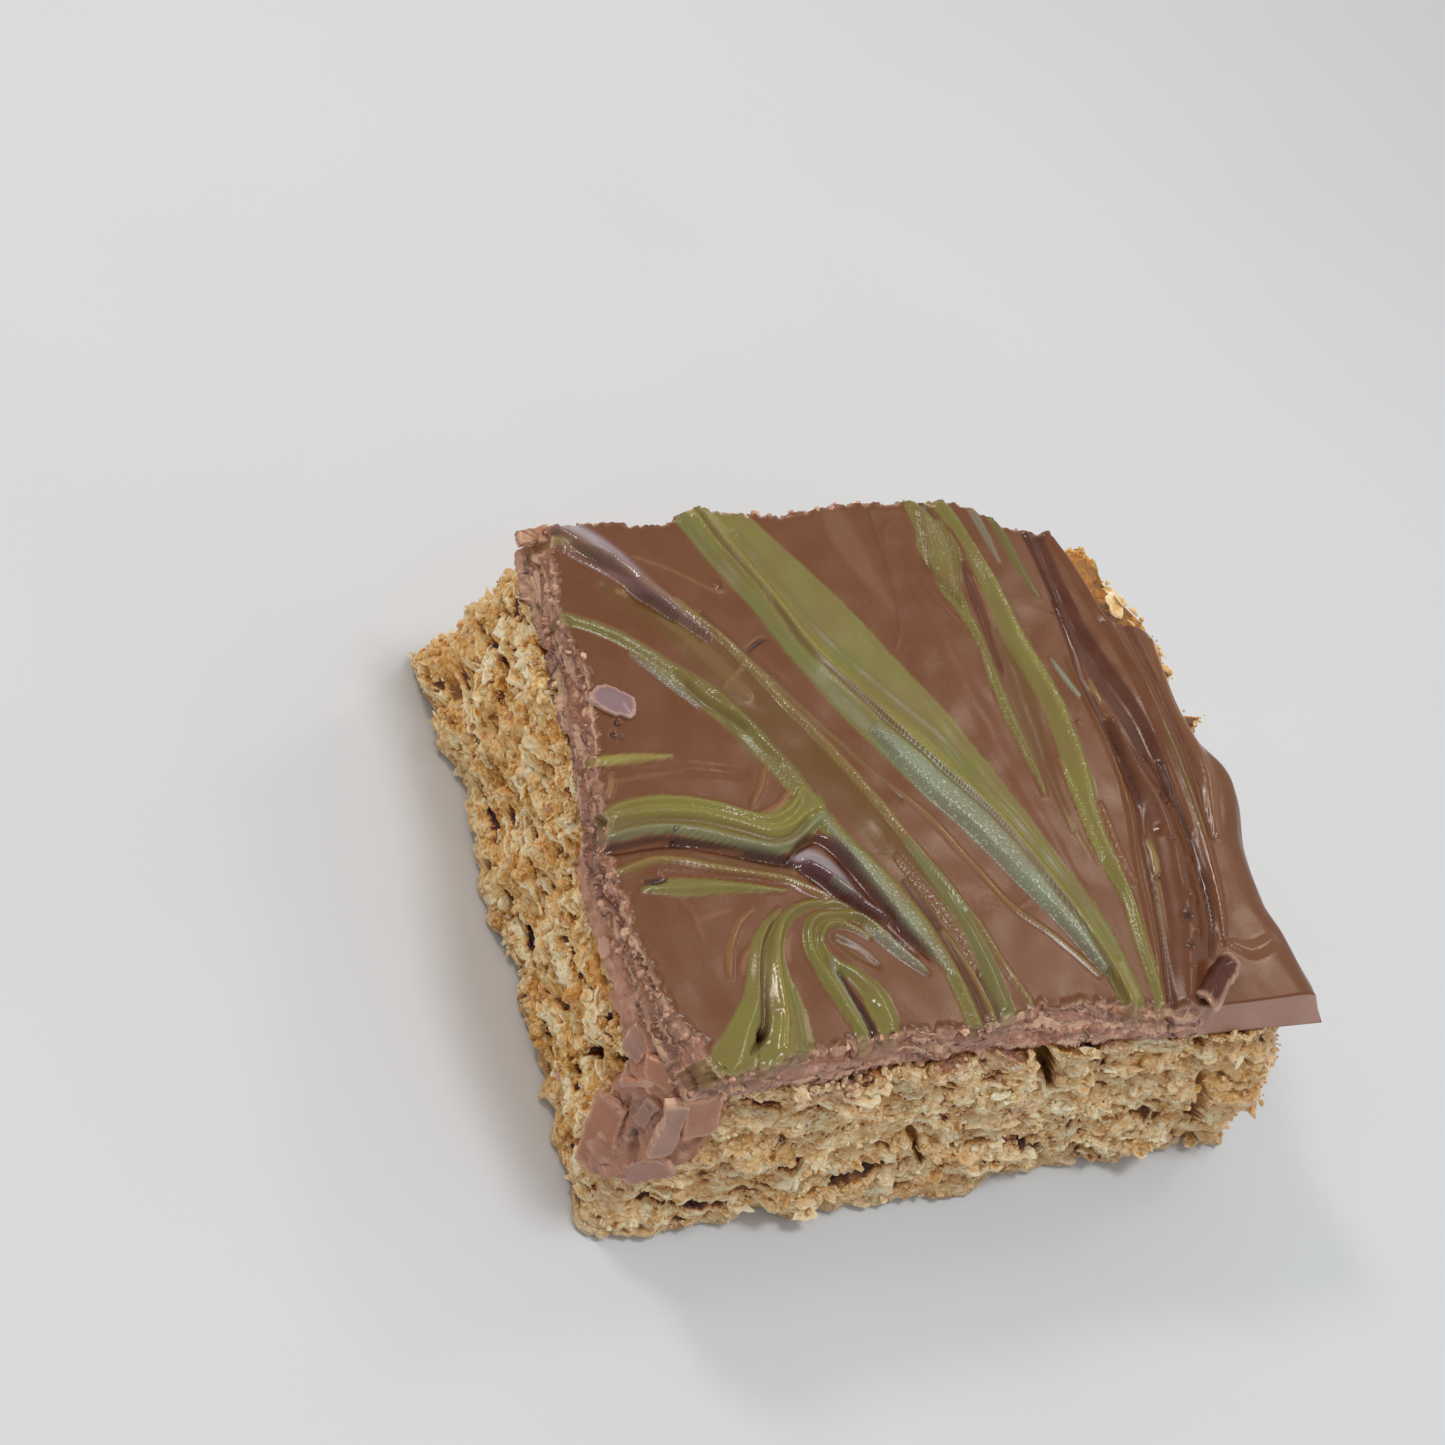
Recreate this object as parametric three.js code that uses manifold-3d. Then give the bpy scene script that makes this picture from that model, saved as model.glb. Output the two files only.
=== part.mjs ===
// A square of chocolate flapjack: a baked oat base under a layer of marbled chocolate.
// Millimetres, +Z up. The origin is the middle of the base, X runs along the near cut, Y away from it.
import * as THREE from "three";
import { ImprovedNoise } from "three/addons/math/ImprovedNoise.js";
import { mergeVertices } from "three/addons/utils/BufferGeometryUtils.js";
import Module from "manifold-3d";

// Driving dimensions
const OAT_HEIGHT = 20.6; // table to the underside of the chocolate
const TOP_HEIGHT = 25; // table to the plain chocolate surface
const JOIN_GAP = 0.3; // clearance between the two bodies
const RIM_WIDTH = 4; // width of the uneven rim round the flat base and the flat seam
const FOOT_LIFT = 0.35; // how far the rim of the base rises off the table
const LIP_LIFT = 0.6; // how much higher the lip's underside is than the seam
const LIP_BULGE = 0.9; // how far the lip's rounded edge stands out at half height
const LIP_DROP = 1.3; // how far the top falls towards the lip's edge
const LIP_ROUND = 3.2; // width of that fall

// Resolution: stations along a long and a short side, and rows up each body
const LONG_STEPS = 46;
const SHORT_STEPS = 40;
const OAT_ROWS = 14;
const CHOCOLATE_ROWS = 4;
const SIDE_STEPS = [LONG_STEPS, SHORT_STEPS, LONG_STEPS, SHORT_STEPS];
const STATIONS = SIDE_STEPS.reduce((sum, steps) => sum + steps, 0);
const LIP_START = LONG_STEPS;
const LIP_END = LONG_STEPS + SHORT_STEPS;

// Outlines at four heights, [x, y] round the piece from its near left corner
const FOOT = {
  near: [[-34.4, -27.8], [-28, -29.2], [4, -29], [13, -28.6], [27, -27.9], [32, -27.6], [34, -26.6],
    [36, -28.6]],
  right: [[38, -26.5], [38, -21], [36.5, -12], [37.6, 0], [38, 10], [36.5, 20]],
  far: [[35.5, 29.5], [20, 31.2], [0, 30.6], [-18, 31.6], [-31, 31.6]],
  left: [[-33.2, 28], [-32.4, 23], [-30.8, 14], [-31.4, 9], [-34, 4.5], [-31.8, -1], [-32.6, -17],
    [-33.4, -22]],
};
const MIDDLE = {
  near: [[-33.2, -27], [-20, -27.2], [0, -27], [20, -26.6], [31, -27], [35, -27.4]],
  right: [[37.2, -24.5], [36.2, -16], [36.6, -6], [37.6, 4], [37.4, 14], [35.8, 22]],
  far: [[33.5, 27.8], [16, 29.2], [-4, 28.4], [-20, 28.6]],
  left: [[-32, 27.2], [-32.2, 18], [-31.4, 9], [-32.6, 2], [-32.4, -10], [-33.2, -20]],
};
const SHOULDER = {
  near: [[-33, -25.9], [-20, -26], [0, -25.4], [18, -25.8], [28, -25.2]],
  right: [[31.6, -24.6], [31.4, -16], [32.4, -6], [34.8, 2], [36.3, 7], [36.3, 11.5], [34.4, 16.5],
    [33.4, 21]],
  far: [[31, 27.4], [24, 28.4], [10, 29.6], [0, 28.6], [-16, 28.4], [-26, 27.4]],
  left: [[-31.4, 27], [-32.2, 17], [-32.2, 9], [-33.2, 2], [-34.2, -6], [-34.4, -16], [-33.8, -22]],
};
const UNDERSIDE = {
  near: [[-33, -26.2], [-20, -25.8], [0, -24.9], [12, -25.4], [24, -25.5]],
  right: [[35.4, -25.6], [33.4, -19], [32.8, -14], [33.2, -8], [34.8, -3], [34.8, 0], [33.2, 3], [32.4, 7],
    [32.8, 12], [32.5, 15.6], [29, 16.6], [28, 21]],
  far: [[26, 26.8], [20, 27.2], [15.5, 29.8], [2, 29.8], [-5, 28.6], [-14.5, 28.8], [-18, 27.6], [-28, 27.8]],
  left: [[-31.6, 26.8], [-32.2, 17], [-32.2, 10], [-33.2, 3], [-34.4, -5], [-34.6, -15], [-34, -21]],
};
const TOP = {
  near: [[-31.2, -26.4], [-21, -24.6], [-13, -24], [-5, -24], [0, -23], [7, -22.6], [12, -24], [20, -24.5]],
  right: [[33.4, -24.2], [32.8, -18], [32, -14], [32.6, -8], [34.4, -3], [34.4, 0], [32.8, 3], [32, 7],
    [32.3, 12], [32, 15.4], [28.4, 16.4], [27.3, 21]],
  far: [[25.4, 26.6], [20, 27], [17, 29], [15.5, 30], [2, 30], [-5, 28.5], [-14.5, 29], [-18, 27.5],
    [-24, 28]],
  left: [[-29.8, 27], [-31.4, 17], [-30.6, 12.5], [-32.4, 4], [-34.4, -5], [-34.3, -15], [-33.4, -20],
    [-31.6, -23]],
};
const OAT_LEVELS = [[0, FOOT], [11, MIDDLE], [OAT_HEIGHT, SHOULDER]];

// Crags of the torn oat sides: lumps a few oats wide, flattened into layers, with single flakes on them
const LUMP = { along: 3.4, up: 1.9, depth: 1.75 };
const FLAKE = { along: 1.5, up: 0.9, depth: 0.85 };
const LEDGE_DEPTH = 0.3; // how far flakes tilt a row up or down
const CHIP = { along: 1.6, up: 1.1, depth: 0.5 }; // chips along the torn edge of the chocolate
const SEAM_WAVE = { along: 7, depth: 0.45, slice: 0.5 };
const NOISE_START = new THREE.Vector3(9.3, 5.7, 2.9); // where the crags are read in the noise field

// Open fissures in the cut sides: [place along the side, height, half length, half height, depth]
const NEAR_FISSURES = [
  [-24.5, 18.2, 3.2, 0.9, 2.4], [-16.5, 15.9, 3.6, 0.9, 2], [-9.5, 18, 3, 0.9, 2.4], [-1.5, 20, 1, 0.9, 1.8],
  [7.2, 17.4, 1.3, 1.4, 2.6], [-8, 8.8, 3, 1, 2.4], [-16, 9.6, 1.5, 0.8, 1.6], [0.8, 11.3, 2.6, 0.7, 1.8],
  [19.5, 13.2, 2.2, 0.8, 1.6], [26.4, 12.6, 1.6, 1, 2], [26.6, 6.8, 1.8, 0.9, 2.2], [14, 2.4, 4, 0.7, 1.6],
];
const LEFT_FISSURES = [
  [20.4, 14.2, 1.6, 1, 2], [7.2, 16.2, 1.2, 1.1, 2.2], [3.8, 16, 1, 0.9, 2], [-5.6, 16.6, 2.2, 0.7, 1.6],
  [-8.6, 14.8, 1.4, 0.8, 1.8], [-8.8, 8.4, 1.8, 0.8, 1.8], [-16.4, 9.6, 1.2, 1.4, 1.8], [5, 5, 3, 0.7, 1.4],
];
const SIDE_BAND = 7; // how far in from a side's edge its fissures reach

// Swirled ridges and grooves of the top: path, half width and height, a groove's height being negative
const SWIRLS = [
  { reach: 2.4, height: 0.9,
    path: [[-12.6, 29], [-7, 19], [-4, 12.5], [1, 5], [5, -2], [8.5, -10], [11, -18], [12.4, -24]] },
  { reach: 0.9, height: -0.5,
    path: [[-14.5, 29], [-10, 20], [-8, 14], [-5, 10], [-1, 4], [3, -1], [6, -6], [8.5, -12], [12, -23]] },
  { reach: 1.5, height: 0.7,
    path: [[-29.5, 28], [-25, 25], [-20, 20], [-15, 13], [-10, 6], [-6, -2], [-3, -10], [-1, -17],
      [1, -23]] },
  { reach: 1.2, height: 0.7,
    path: [[-30.5, 18], [-25, 15.5], [-20, 11], [-14, 3], [-10, -8], [-8, -13], [-6.5, -19], [-6, -24]] },
  { reach: 1.2, height: 0.5, path: [[11, 29], [9.8, 22], [11.2, 14], [11, 4], [11.5, -2]] },
  { reach: 1.5, height: 0.7,
    path: [[11.5, 30], [14.5, 24], [16, 15], [17, 6], [16, -4], [15.5, -14], [15, -23]] },
  { reach: 1.5, height: 0.9, path: [[23, 27], [22, 18], [21.8, 8], [22.2, -2], [21.6, -12], [18.5, -22]] },
  { reach: 1.1, height: -0.8, path: [[23.8, 26], [25, 15], [26, 5], [26, -4], [24.5, -13], [22, -20]] },
  { reach: 1.6, height: 0.9, path: [[25.5, 25.5], [28, 14], [28.6, 3], [28, -6], [25.5, -14]] },
  { reach: 1.6, height: 0.8,
    path: [[-34, -2.5], [-28, -2], [-22, -3], [-17, -4.5], [-13, -2.5], [-10.5, -7]] },
  { reach: 1, height: -0.8, path: [[-33, -6], [-24, -6], [-17, -6.8], [-12.5, -9]] },
  { reach: 1.2, height: 0.6, path: [[-33, -8], [-25, -8.2], [-18, -10.2], [-12, -14], [-8, -19]] },
  { reach: 1.9, height: 0.9, path: [[-14, -11.5], [-19, -12], [-23, -16], [-25, -21], [-27, -26]] },
  { reach: 1.5, height: 0.7, path: [[-12, -13.5], [-16.5, -13], [-17, -17], [-14.5, -20.5], [-14.5, -24]] },
];
const TOP_WAVE = { along: 11, depth: 0.3, slice: 4.2 };

// The smear that the knife drew down the near left corner: [distance round the corner, lowest height]
const SMEAR_FOOT = [[-24, 18.6], [-18, 16.6], [-10, 16.4], [-7, 13.6], [-4, 8], [-1.6, 3.4], [0.4, 2.4],
  [2.2, 7.5], [4.6, 10.5], [6.6, 17]];
const SMEAR = { gap: 0.6, depth: 0.9, edge: 0.5, top: 22.4, tuck: 1, columns: 22, rows: 7 };
const SMEAR_TAPER = { foot: 3, ends: 6 }; // how fast it thickens from its foot and from its ends
const SMEAR_FADE = { left: 3, right: 3, below: 2.9, above: 1 }; // how far the recess fades round it
const SMEAR_PRINT = 0.2; // share of the crags that shows through it
const SMEAR_RECESS = SMEAR.depth + SMEAR.gap; // how far the oats lie back under it

// Loose-edged shards of chocolate, each a bent plate that is fused on
const SHARDS = [
  { at: [21.4, -22, 25.9], size: [6.6, 2.6], thick: 0.7, heading: 36, tilt: -32, bend: 0.9 },
  { at: [-29.4, 9.6, 25.3], size: [4.2, 2.6], thick: 0.7, heading: -18, tilt: 6, bend: 0 },
  { at: [-31, 26.9, 24.3], size: [3.4, 1.6], thick: 1.4, heading: 8, tilt: 4, bend: 0 },
  { at: [-29.3, -26.9, 18.7], size: [2.1, 6.2], thick: 0.9, heading: -4, tilt: 84, bend: 0 },
  { at: [-31.7, -27, 16.4], size: [1.8, 5.4], thick: 0.9, heading: -24, tilt: 80, bend: 0 },
];
const SHARD_STEPS = 3;
const SHARD_WAVE = { depth: 0.12, across: 5, along: 3 };

const OAT_MATERIAL = { color: 0xc9a063, roughness: 0.75, metalness: 0 };
const CHOCOLATE_MATERIAL = { color: 0x7c5340, roughness: 0.42, metalness: 0 };

const field = new ImprovedNoise();
const wasm = await Module();
wasm.setup();

// Values between two numbers, and between the points of a table sorted by its first column
const mix = THREE.MathUtils.lerp;
const smoothstep = THREE.MathUtils.smoothstep;

function tableValue(table, at) {
  const next = table.findIndex(([key]) => key >= at);
  if (next <= 0) return next === 0 ? table[0][1] : table[table.length - 1][1];
  const [[low, from], [high, to]] = [table[next - 1], table[next]];
  return mix(from, to, (at - low) / (high - low));
}

// The stations of an outline, evenly spaced along each of its four sides
function stationsOf(outline) {
  const sides = [outline.near, outline.right, outline.far, outline.left];
  return sides.flatMap((side, k) => {
    const corner = sides[(k + 1) % sides.length][0];
    const path = new THREE.Path([...side, corner].map(([x, y]) => new THREE.Vector2(x, y)));
    return Array.from({ length: SIDE_STEPS[k] }, (_, i) => path.getPoint(i / SIDE_STEPS[k]));
  });
}

const oatRings = OAT_LEVELS.map(([height, outline]) => [height, stationsOf(outline)]);
const undersideRing = stationsOf(UNDERSIDE);
const topRing = stationsOf(TOP);
const outward = oatRings[1][1].map((_, i, ring) => {
  const ahead = ring[(i + 2) % STATIONS];
  const behind = ring[(i + STATIONS - 2) % STATIONS];
  return new THREE.Vector2(ahead.y - behind.y, behind.x - ahead.x).normalize();
});

// Distance round the piece from its near left corner: negative along the left side
const cornerDistance = topRing.map((_, i) => {
  const spacing = (k) => oatRings[2][1][k % STATIONS].distanceTo(oatRings[2][1][(k + 1) % STATIONS]);
  const half = STATIONS / 2;
  const span = i < half ? [0, i] : [i, STATIONS];
  let length = 0;
  for (let k = span[0]; k < span[1]; k++) length += spacing(k);
  return i < half ? length : -length;
});

function grain({ along, up, depth }, x, y, z) {
  return depth * field.noise(x / along + NOISE_START.x, y / along + NOISE_START.y, z / up + NOISE_START.z);
}

function fissureDepth(x, y, z) {
  const pit = (at, [place, height, length, thickness, depth]) =>
    depth * Math.exp(-(((at - place) / length) ** 2) - ((z - height) / thickness) ** 2);
  const near = y < FOOT.near[1][1] + SIDE_BAND ? NEAR_FISSURES.map((f) => pit(x, f)) : [];
  const left = x < FOOT.left[0][0] + SIDE_BAND ? LEFT_FISSURES.map((f) => pit(y, f)) : [];
  return [...near, ...left].reduce((sum, depth) => sum + depth, 0);
}

// How fully the smear covers a place on the side, from 0 to 1
function smearCover(distance, z) {
  const [first, last] = [SMEAR_FOOT[0][0], SMEAR_FOOT[SMEAR_FOOT.length - 1][0]];
  const { left, right, below, above } = SMEAR_FADE;
  const leftEnd = smoothstep(distance, first - left, first);
  const ends = Math.min(leftEnd, smoothstep(-distance, -last - right, -last));
  const foot = tableValue(SMEAR_FOOT, distance);
  return ends * smoothstep(z, foot - below, foot - above);
}

// A point on the oat side at a station, which may lie between two, pushed outward by extra
function oatSide(station, z, extra = 0) {
  const i = Math.floor(station) % STATIONS;
  const j = (i + 1) % STATIONS;
  const part = station - Math.floor(station);
  const upper = z > oatRings[1][0] ? 1 : 0;
  const [[low, lowRing], [high, highRing]] = [oatRings[upper], oatRings[upper + 1]];
  const rise = THREE.MathUtils.clamp((z - low) / (high - low), 0, 1);
  const plan = lowRing[i].clone().lerp(lowRing[j], part);
  plan.lerp(highRing[i].clone().lerp(highRing[j], part), rise);
  const out = outward[i].clone().lerp(outward[j], part);
  const distance = j === 0 ? cornerDistance[i] * (1 - part) : mix(cornerDistance[i], cornerDistance[j], part);
  const cover = smearCover(distance, z);
  const [x, y] = [plan.x, plan.y];
  const crag = grain(LUMP, x, y, z) + grain(FLAKE, x, y, z) - fissureDepth(x, y, z);
  plan.addScaledVector(out, mix(crag, SMEAR_PRINT * crag - SMEAR_RECESS, cover) + extra);
  const ledge = LEDGE_DEPTH * field.noise(plan.x / FLAKE.along, plan.y / FLAKE.along, z);
  return new THREE.Vector3(plan.x, plan.y, z + ledge * (1 - cover));
}

function seamHeight(x, y) {
  const { along, depth, slice } = SEAM_WAVE;
  return OAT_HEIGHT + depth * field.noise(x / along, y / along, slice);
}

// A ring of plain points inside the rim, shared by both bodies where they meet
function coreRing(ring, height) {
  return ring.map((p) => {
    const plan = p.clone().setLength(p.length() - RIM_WIDTH);
    return new THREE.Vector3(plan.x, plan.y, height(plan.x, plan.y));
  });
}

// Height of the chocolate's top over the plan, without its rounded lip
function swirl({ path, reach, height }, x, y) {
  let nearest = Infinity;
  const place = new THREE.Vector3(x, y, 0);
  const foot = new THREE.Vector3();
  for (let k = 0; k + 1 < path.length; k++) {
    const piece = new THREE.Line3(new THREE.Vector3(...path[k], 0), new THREE.Vector3(...path[k + 1], 0));
    nearest = Math.min(nearest, piece.closestPointToPoint(place, true, foot).distanceTo(place));
  }
  return height * Math.exp(-((nearest / reach) ** 2));
}

function topHeight(x, y) {
  const wave = TOP_WAVE.depth * field.noise(x / TOP_WAVE.along, y / TOP_WAVE.along, TOP_WAVE.slice);
  return TOP_HEIGHT + wave + SWIRLS.reduce((sum, s) => sum + swirl(s, x, y), 0);
}

// Mesh building: rings and grids of vectors become one triangle list
class Skin {
  constructor() {
    this.points = [];
    this.faces = [];
  }

  add(points) {
    const first = this.points.length;
    this.points.push(...points);
    return points.map((_, i) => first + i);
  }

  quad(a, b, c, d) {
    this.faces.push(a, b, c, a, c, d);
  }

  // Joins two closed rings of the same length, the lower one first
  band(lower, upper) {
    lower.forEach((a, i) => {
      const j = (i + 1) % lower.length;
      this.quad(a, lower[j], upper[j], upper[i]);
    });
  }

  // Closes a ring with a fan to one point, facing up or down
  fan(ring, apex, up) {
    ring.forEach((a, i) => {
      const b = ring[(i + 1) % ring.length];
      this.faces.push(...(up ? [a, b, apex] : [b, a, apex]));
    });
  }

  geometry() {
    const made = new THREE.BufferGeometry();
    const places = this.points.flatMap((p) => p.toArray());
    made.setAttribute("position", new THREE.Float32BufferAttribute(places, 3));
    made.setIndex(this.faces);
    return made;
  }
}

const FAN_APEX = new THREE.Vector2(2, 1.5); // middle of the flat base and of the seam

function apexAt(height) {
  return new THREE.Vector3(FAN_APEX.x, FAN_APEX.y, height);
}

function oatBase() {
  const skin = new Skin();
  const floor = skin.add(coreRing(oatRings[0][1], () => 0));
  skin.fan(floor, skin.add([apexAt(0)])[0], false);
  let below = floor;
  for (let row = 0; row <= OAT_ROWS; row++) {
    const ring = topRing.map((_, i) => {
      const plain = oatRings[2][1][i];
      const crest = seamHeight(plain.x, plain.y) - JOIN_GAP / 2;
      const point = oatSide(i, mix(FOOT_LIFT, crest, row / OAT_ROWS));
      point.z = row === OAT_ROWS ? crest : Math.max(point.z, FOOT_LIFT / 2);
      return point;
    });
    const next = skin.add(ring);
    skin.band(below, next);
    below = next;
  }
  const seam = skin.add(coreRing(oatRings[2][1], (x, y) => seamHeight(x, y) - JOIN_GAP / 2));
  skin.band(below, seam);
  skin.fan(seam, skin.add([apexAt(OAT_HEIGHT - JOIN_GAP / 2)])[0], true);
  return skin.geometry();
}

// A point of the chocolate's side, from its top edge at share 0 to its underside at share 1
function chocolateSide(i, share) {
  const lip = i > LIP_START && i < LIP_END;
  const top = topRing[i];
  const under = undersideRing[i];
  const plan = top.clone().lerp(under, share);
  const drop = lip || i === LIP_START ? LIP_DROP : 0;
  const underside = seamHeight(under.x, under.y) + JOIN_GAP / 2 + (lip ? LIP_LIFT : 0);
  const height = mix(topHeight(top.x, top.y) - drop, underside, share);
  const chip = lip ? LIP_BULGE * Math.sin(Math.PI * share) : grain(CHIP, plan.x, plan.y, height);
  plan.addScaledVector(outward[i], chip);
  return new THREE.Vector3(plan.x, plan.y, height);
}

// The top as a grid stretched between the four sides of its edge
function topGrid(edge) {
  const near = (c) => edge[c];
  const right = (r) => edge[LONG_STEPS + r];
  const far = (c) => edge[2 * LONG_STEPS + SHORT_STEPS - c];
  const left = (r) => edge[(STATIONS - r) % STATIONS];
  const blend = (c, r) => {
    const [u, v] = [c / LONG_STEPS, r / SHORT_STEPS];
    const across = left(r).clone().lerp(right(r), u);
    const along = near(c).clone().lerp(far(c), v);
    const farCorners = left(SHORT_STEPS).clone().lerp(right(SHORT_STEPS), u);
    const corners = left(0).clone().lerp(right(0), u).lerp(farCorners, v);
    const point = across.add(along).sub(corners);
    const inside = Math.min(1, ((1 - u) * 2 * right(r).x) / LIP_ROUND);
    const drop = LIP_DROP * (1 - Math.sqrt(1 - (1 - inside) ** 2));
    point.z = topHeight(point.x, point.y) - drop;
    return point;
  };
  return blend;
}

function chocolateLayer() {
  const skin = new Skin();
  const edgePoints = topRing.map((_, i) => chocolateSide(i, 0));
  const edge = skin.add(edgePoints);
  const blend = topGrid(edgePoints);
  const index = (c, r) => {
    if (r === 0) return edge[c];
    if (c === LONG_STEPS) return edge[LONG_STEPS + r];
    if (r === SHORT_STEPS) return edge[2 * LONG_STEPS + SHORT_STEPS - c];
    if (c === 0) return edge[STATIONS - r];
    return STATIONS + (r - 1) * (LONG_STEPS - 1) + c - 1;
  };
  for (let r = 1; r < SHORT_STEPS; r++) {
    skin.add(Array.from({ length: LONG_STEPS - 1 }, (_, c) => blend(c + 1, r)));
  }
  for (let r = 0; r < SHORT_STEPS; r++) {
    for (let c = 0; c < LONG_STEPS; c++) {
      skin.quad(index(c, r), index(c + 1, r), index(c + 1, r + 1), index(c, r + 1));
    }
  }
  let above = edge;
  for (let row = 1; row <= CHOCOLATE_ROWS; row++) {
    const next = skin.add(topRing.map((_, i) => chocolateSide(i, row / CHOCOLATE_ROWS)));
    skin.band(next, above);
    above = next;
  }
  const seam = skin.add(coreRing(oatRings[2][1], (x, y) => seamHeight(x, y) + JOIN_GAP / 2));
  skin.band(seam, above);
  skin.fan(seam, skin.add([apexAt(OAT_HEIGHT + JOIN_GAP / 2)])[0], false);
  return skin.geometry();
}

// A plate between two grids of the same size: outer faces away, inner faces back
function plate(columns, rows, outer, inner) {
  const skin = new Skin();
  const grid = (at) => Array.from({ length: rows + 1 }, (_, r) =>
    skin.add(Array.from({ length: columns + 1 }, (_, c) => at(c / columns, r / rows))));
  const [front, back] = [grid(outer), grid(inner)];
  for (let r = 0; r < rows; r++) {
    for (let c = 0; c < columns; c++) {
      skin.quad(front[r][c], front[r][c + 1], front[r + 1][c + 1], front[r + 1][c]);
      skin.quad(back[r][c], back[r + 1][c], back[r + 1][c + 1], back[r][c + 1]);
    }
  }
  for (let c = 0; c < columns; c++) {
    skin.quad(front[0][c], back[0][c], back[0][c + 1], front[0][c + 1]);
    skin.quad(front[rows][c + 1], back[rows][c + 1], back[rows][c], front[rows][c]);
  }
  for (let r = 0; r < rows; r++) {
    skin.quad(front[r + 1][0], back[r + 1][0], back[r][0], front[r][0]);
    skin.quad(front[r][columns], back[r][columns], back[r + 1][columns], front[r + 1][columns]);
  }
  return skin.geometry();
}

// The station, which may lie between two, at a distance round from the near left corner
const stationTable = cornerDistance.map((distance, i) => [distance, i < STATIONS / 2 ? i : i - STATIONS])
  .sort(([a], [b]) => a - b);

function stationAt(distance) {
  return (STATIONS + tableValue(stationTable, distance)) % STATIONS;
}

function smear() {
  const [first, last] = [SMEAR_FOOT[0][0], SMEAR_FOOT[SMEAR_FOOT.length - 1][0]];
  const at = (proud) => (u, v) => {
    const distance = mix(first, last, u);
    const height = mix(tableValue(SMEAR_FOOT, distance), SMEAR.top, v);
    const tuck = SMEAR.tuck * smoothstep(height, OAT_HEIGHT, SMEAR.top);
    const edge = Math.min(1, SMEAR_TAPER.foot * v, SMEAR_TAPER.ends * u, SMEAR_TAPER.ends * (1 - u));
    const depth = mix(SMEAR.edge, SMEAR.depth, edge);
    return oatSide(stationAt(distance), height, SMEAR.gap + (proud ? depth : 0) - tuck);
  };
  return plate(SMEAR.columns, SMEAR.rows, at(true), at(false));
}

function shard({ at, size, thick, heading, tilt, bend }) {
  const place = new THREE.Matrix4().makeTranslation(...at)
    .multiply(new THREE.Matrix4().makeRotationZ(THREE.MathUtils.degToRad(heading)))
    .multiply(new THREE.Matrix4().makeRotationX(THREE.MathUtils.degToRad(tilt)));
  const face = (side) => (u, v) => {
    const sag = -bend * (2 * v - 1) ** 2;
    const wave = SHARD_WAVE.depth * Math.sin(SHARD_WAVE.across * u + SHARD_WAVE.along * v + at[0]);
    return new THREE.Vector3((u - 0.5) * size[0], (v - 0.5) * size[1] + wave, sag + side * thick / 2)
      .applyMatrix4(place);
  };
  return plate(SHARD_STEPS, SHARD_STEPS, face(1), face(-1));
}

function solidOf(geometry) {
  const merged = mergeVertices(geometry, 1e-4);
  return new wasm.Manifold(new wasm.Mesh({
    numProp: 3,
    vertProperties: merged.attributes.position.array,
    triVerts: new Uint32Array(merged.index.array),
  }));
}

function geometryOf(solid) {
  const mesh = solid.getMesh();
  const made = new THREE.BufferGeometry();
  made.setAttribute("position", new THREE.BufferAttribute(mesh.vertProperties, 3));
  made.setIndex(new THREE.BufferAttribute(mesh.triVerts, 1));
  return made;
}

function joined(geometries) {
  return geometryOf(geometries.map(solidOf).reduce((whole, piece) => whole.add(piece)));
}

function node(name, geometry, material) {
  const mesh = new THREE.Mesh(geometry, new THREE.MeshStandardMaterial(material));
  mesh.name = name;
  mesh.geometry.computeVertexNormals();
  return mesh;
}

const flapjack = new THREE.Group();
flapjack.add(node("oat_base", oatBase(), OAT_MATERIAL));
const chocolate = joined([chocolateLayer(), smear(), ...SHARDS.map(shard)]);
flapjack.add(node("chocolate_layer", chocolate, CHOCOLATE_MATERIAL));

export default flapjack;
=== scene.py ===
"""Looks of the chocolate flapjack: torn baked oats under marbled chocolate, in soft daylight."""

import math

import bmesh
import bpy
import numpy as np
from mathutils import Matrix, Vector
from mathutils.bvhtree import BVHTree


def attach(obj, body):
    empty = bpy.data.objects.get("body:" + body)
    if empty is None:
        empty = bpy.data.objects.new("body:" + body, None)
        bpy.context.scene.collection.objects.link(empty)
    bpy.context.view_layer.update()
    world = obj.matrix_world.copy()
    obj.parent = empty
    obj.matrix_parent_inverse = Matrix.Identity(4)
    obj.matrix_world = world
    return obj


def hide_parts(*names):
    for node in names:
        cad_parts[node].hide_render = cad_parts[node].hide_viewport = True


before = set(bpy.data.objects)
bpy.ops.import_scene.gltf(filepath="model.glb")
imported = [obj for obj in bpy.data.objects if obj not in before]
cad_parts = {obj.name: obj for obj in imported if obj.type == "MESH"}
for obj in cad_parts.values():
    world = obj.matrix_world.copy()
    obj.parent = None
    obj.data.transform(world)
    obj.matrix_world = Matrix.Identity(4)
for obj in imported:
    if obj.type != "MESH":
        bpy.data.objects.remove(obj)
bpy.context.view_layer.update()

# Lengths are millimetres until a mesh, a lamp or the camera is made
MM = 0.001
SEED = 7

# The photograph's view of the piece: where the camera stands, where it looks and what is up
CAMERA_AT = Vector((-162.9, -114.1, 226.3))
CAMERA_FORWARD = Vector((0.522, 0.439, -0.731))
CAMERA_UP = Vector((0.036, 0.845, 0.533))
CAMERA_LENS = 79.7
SENSOR_WIDTH = 36.0

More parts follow.
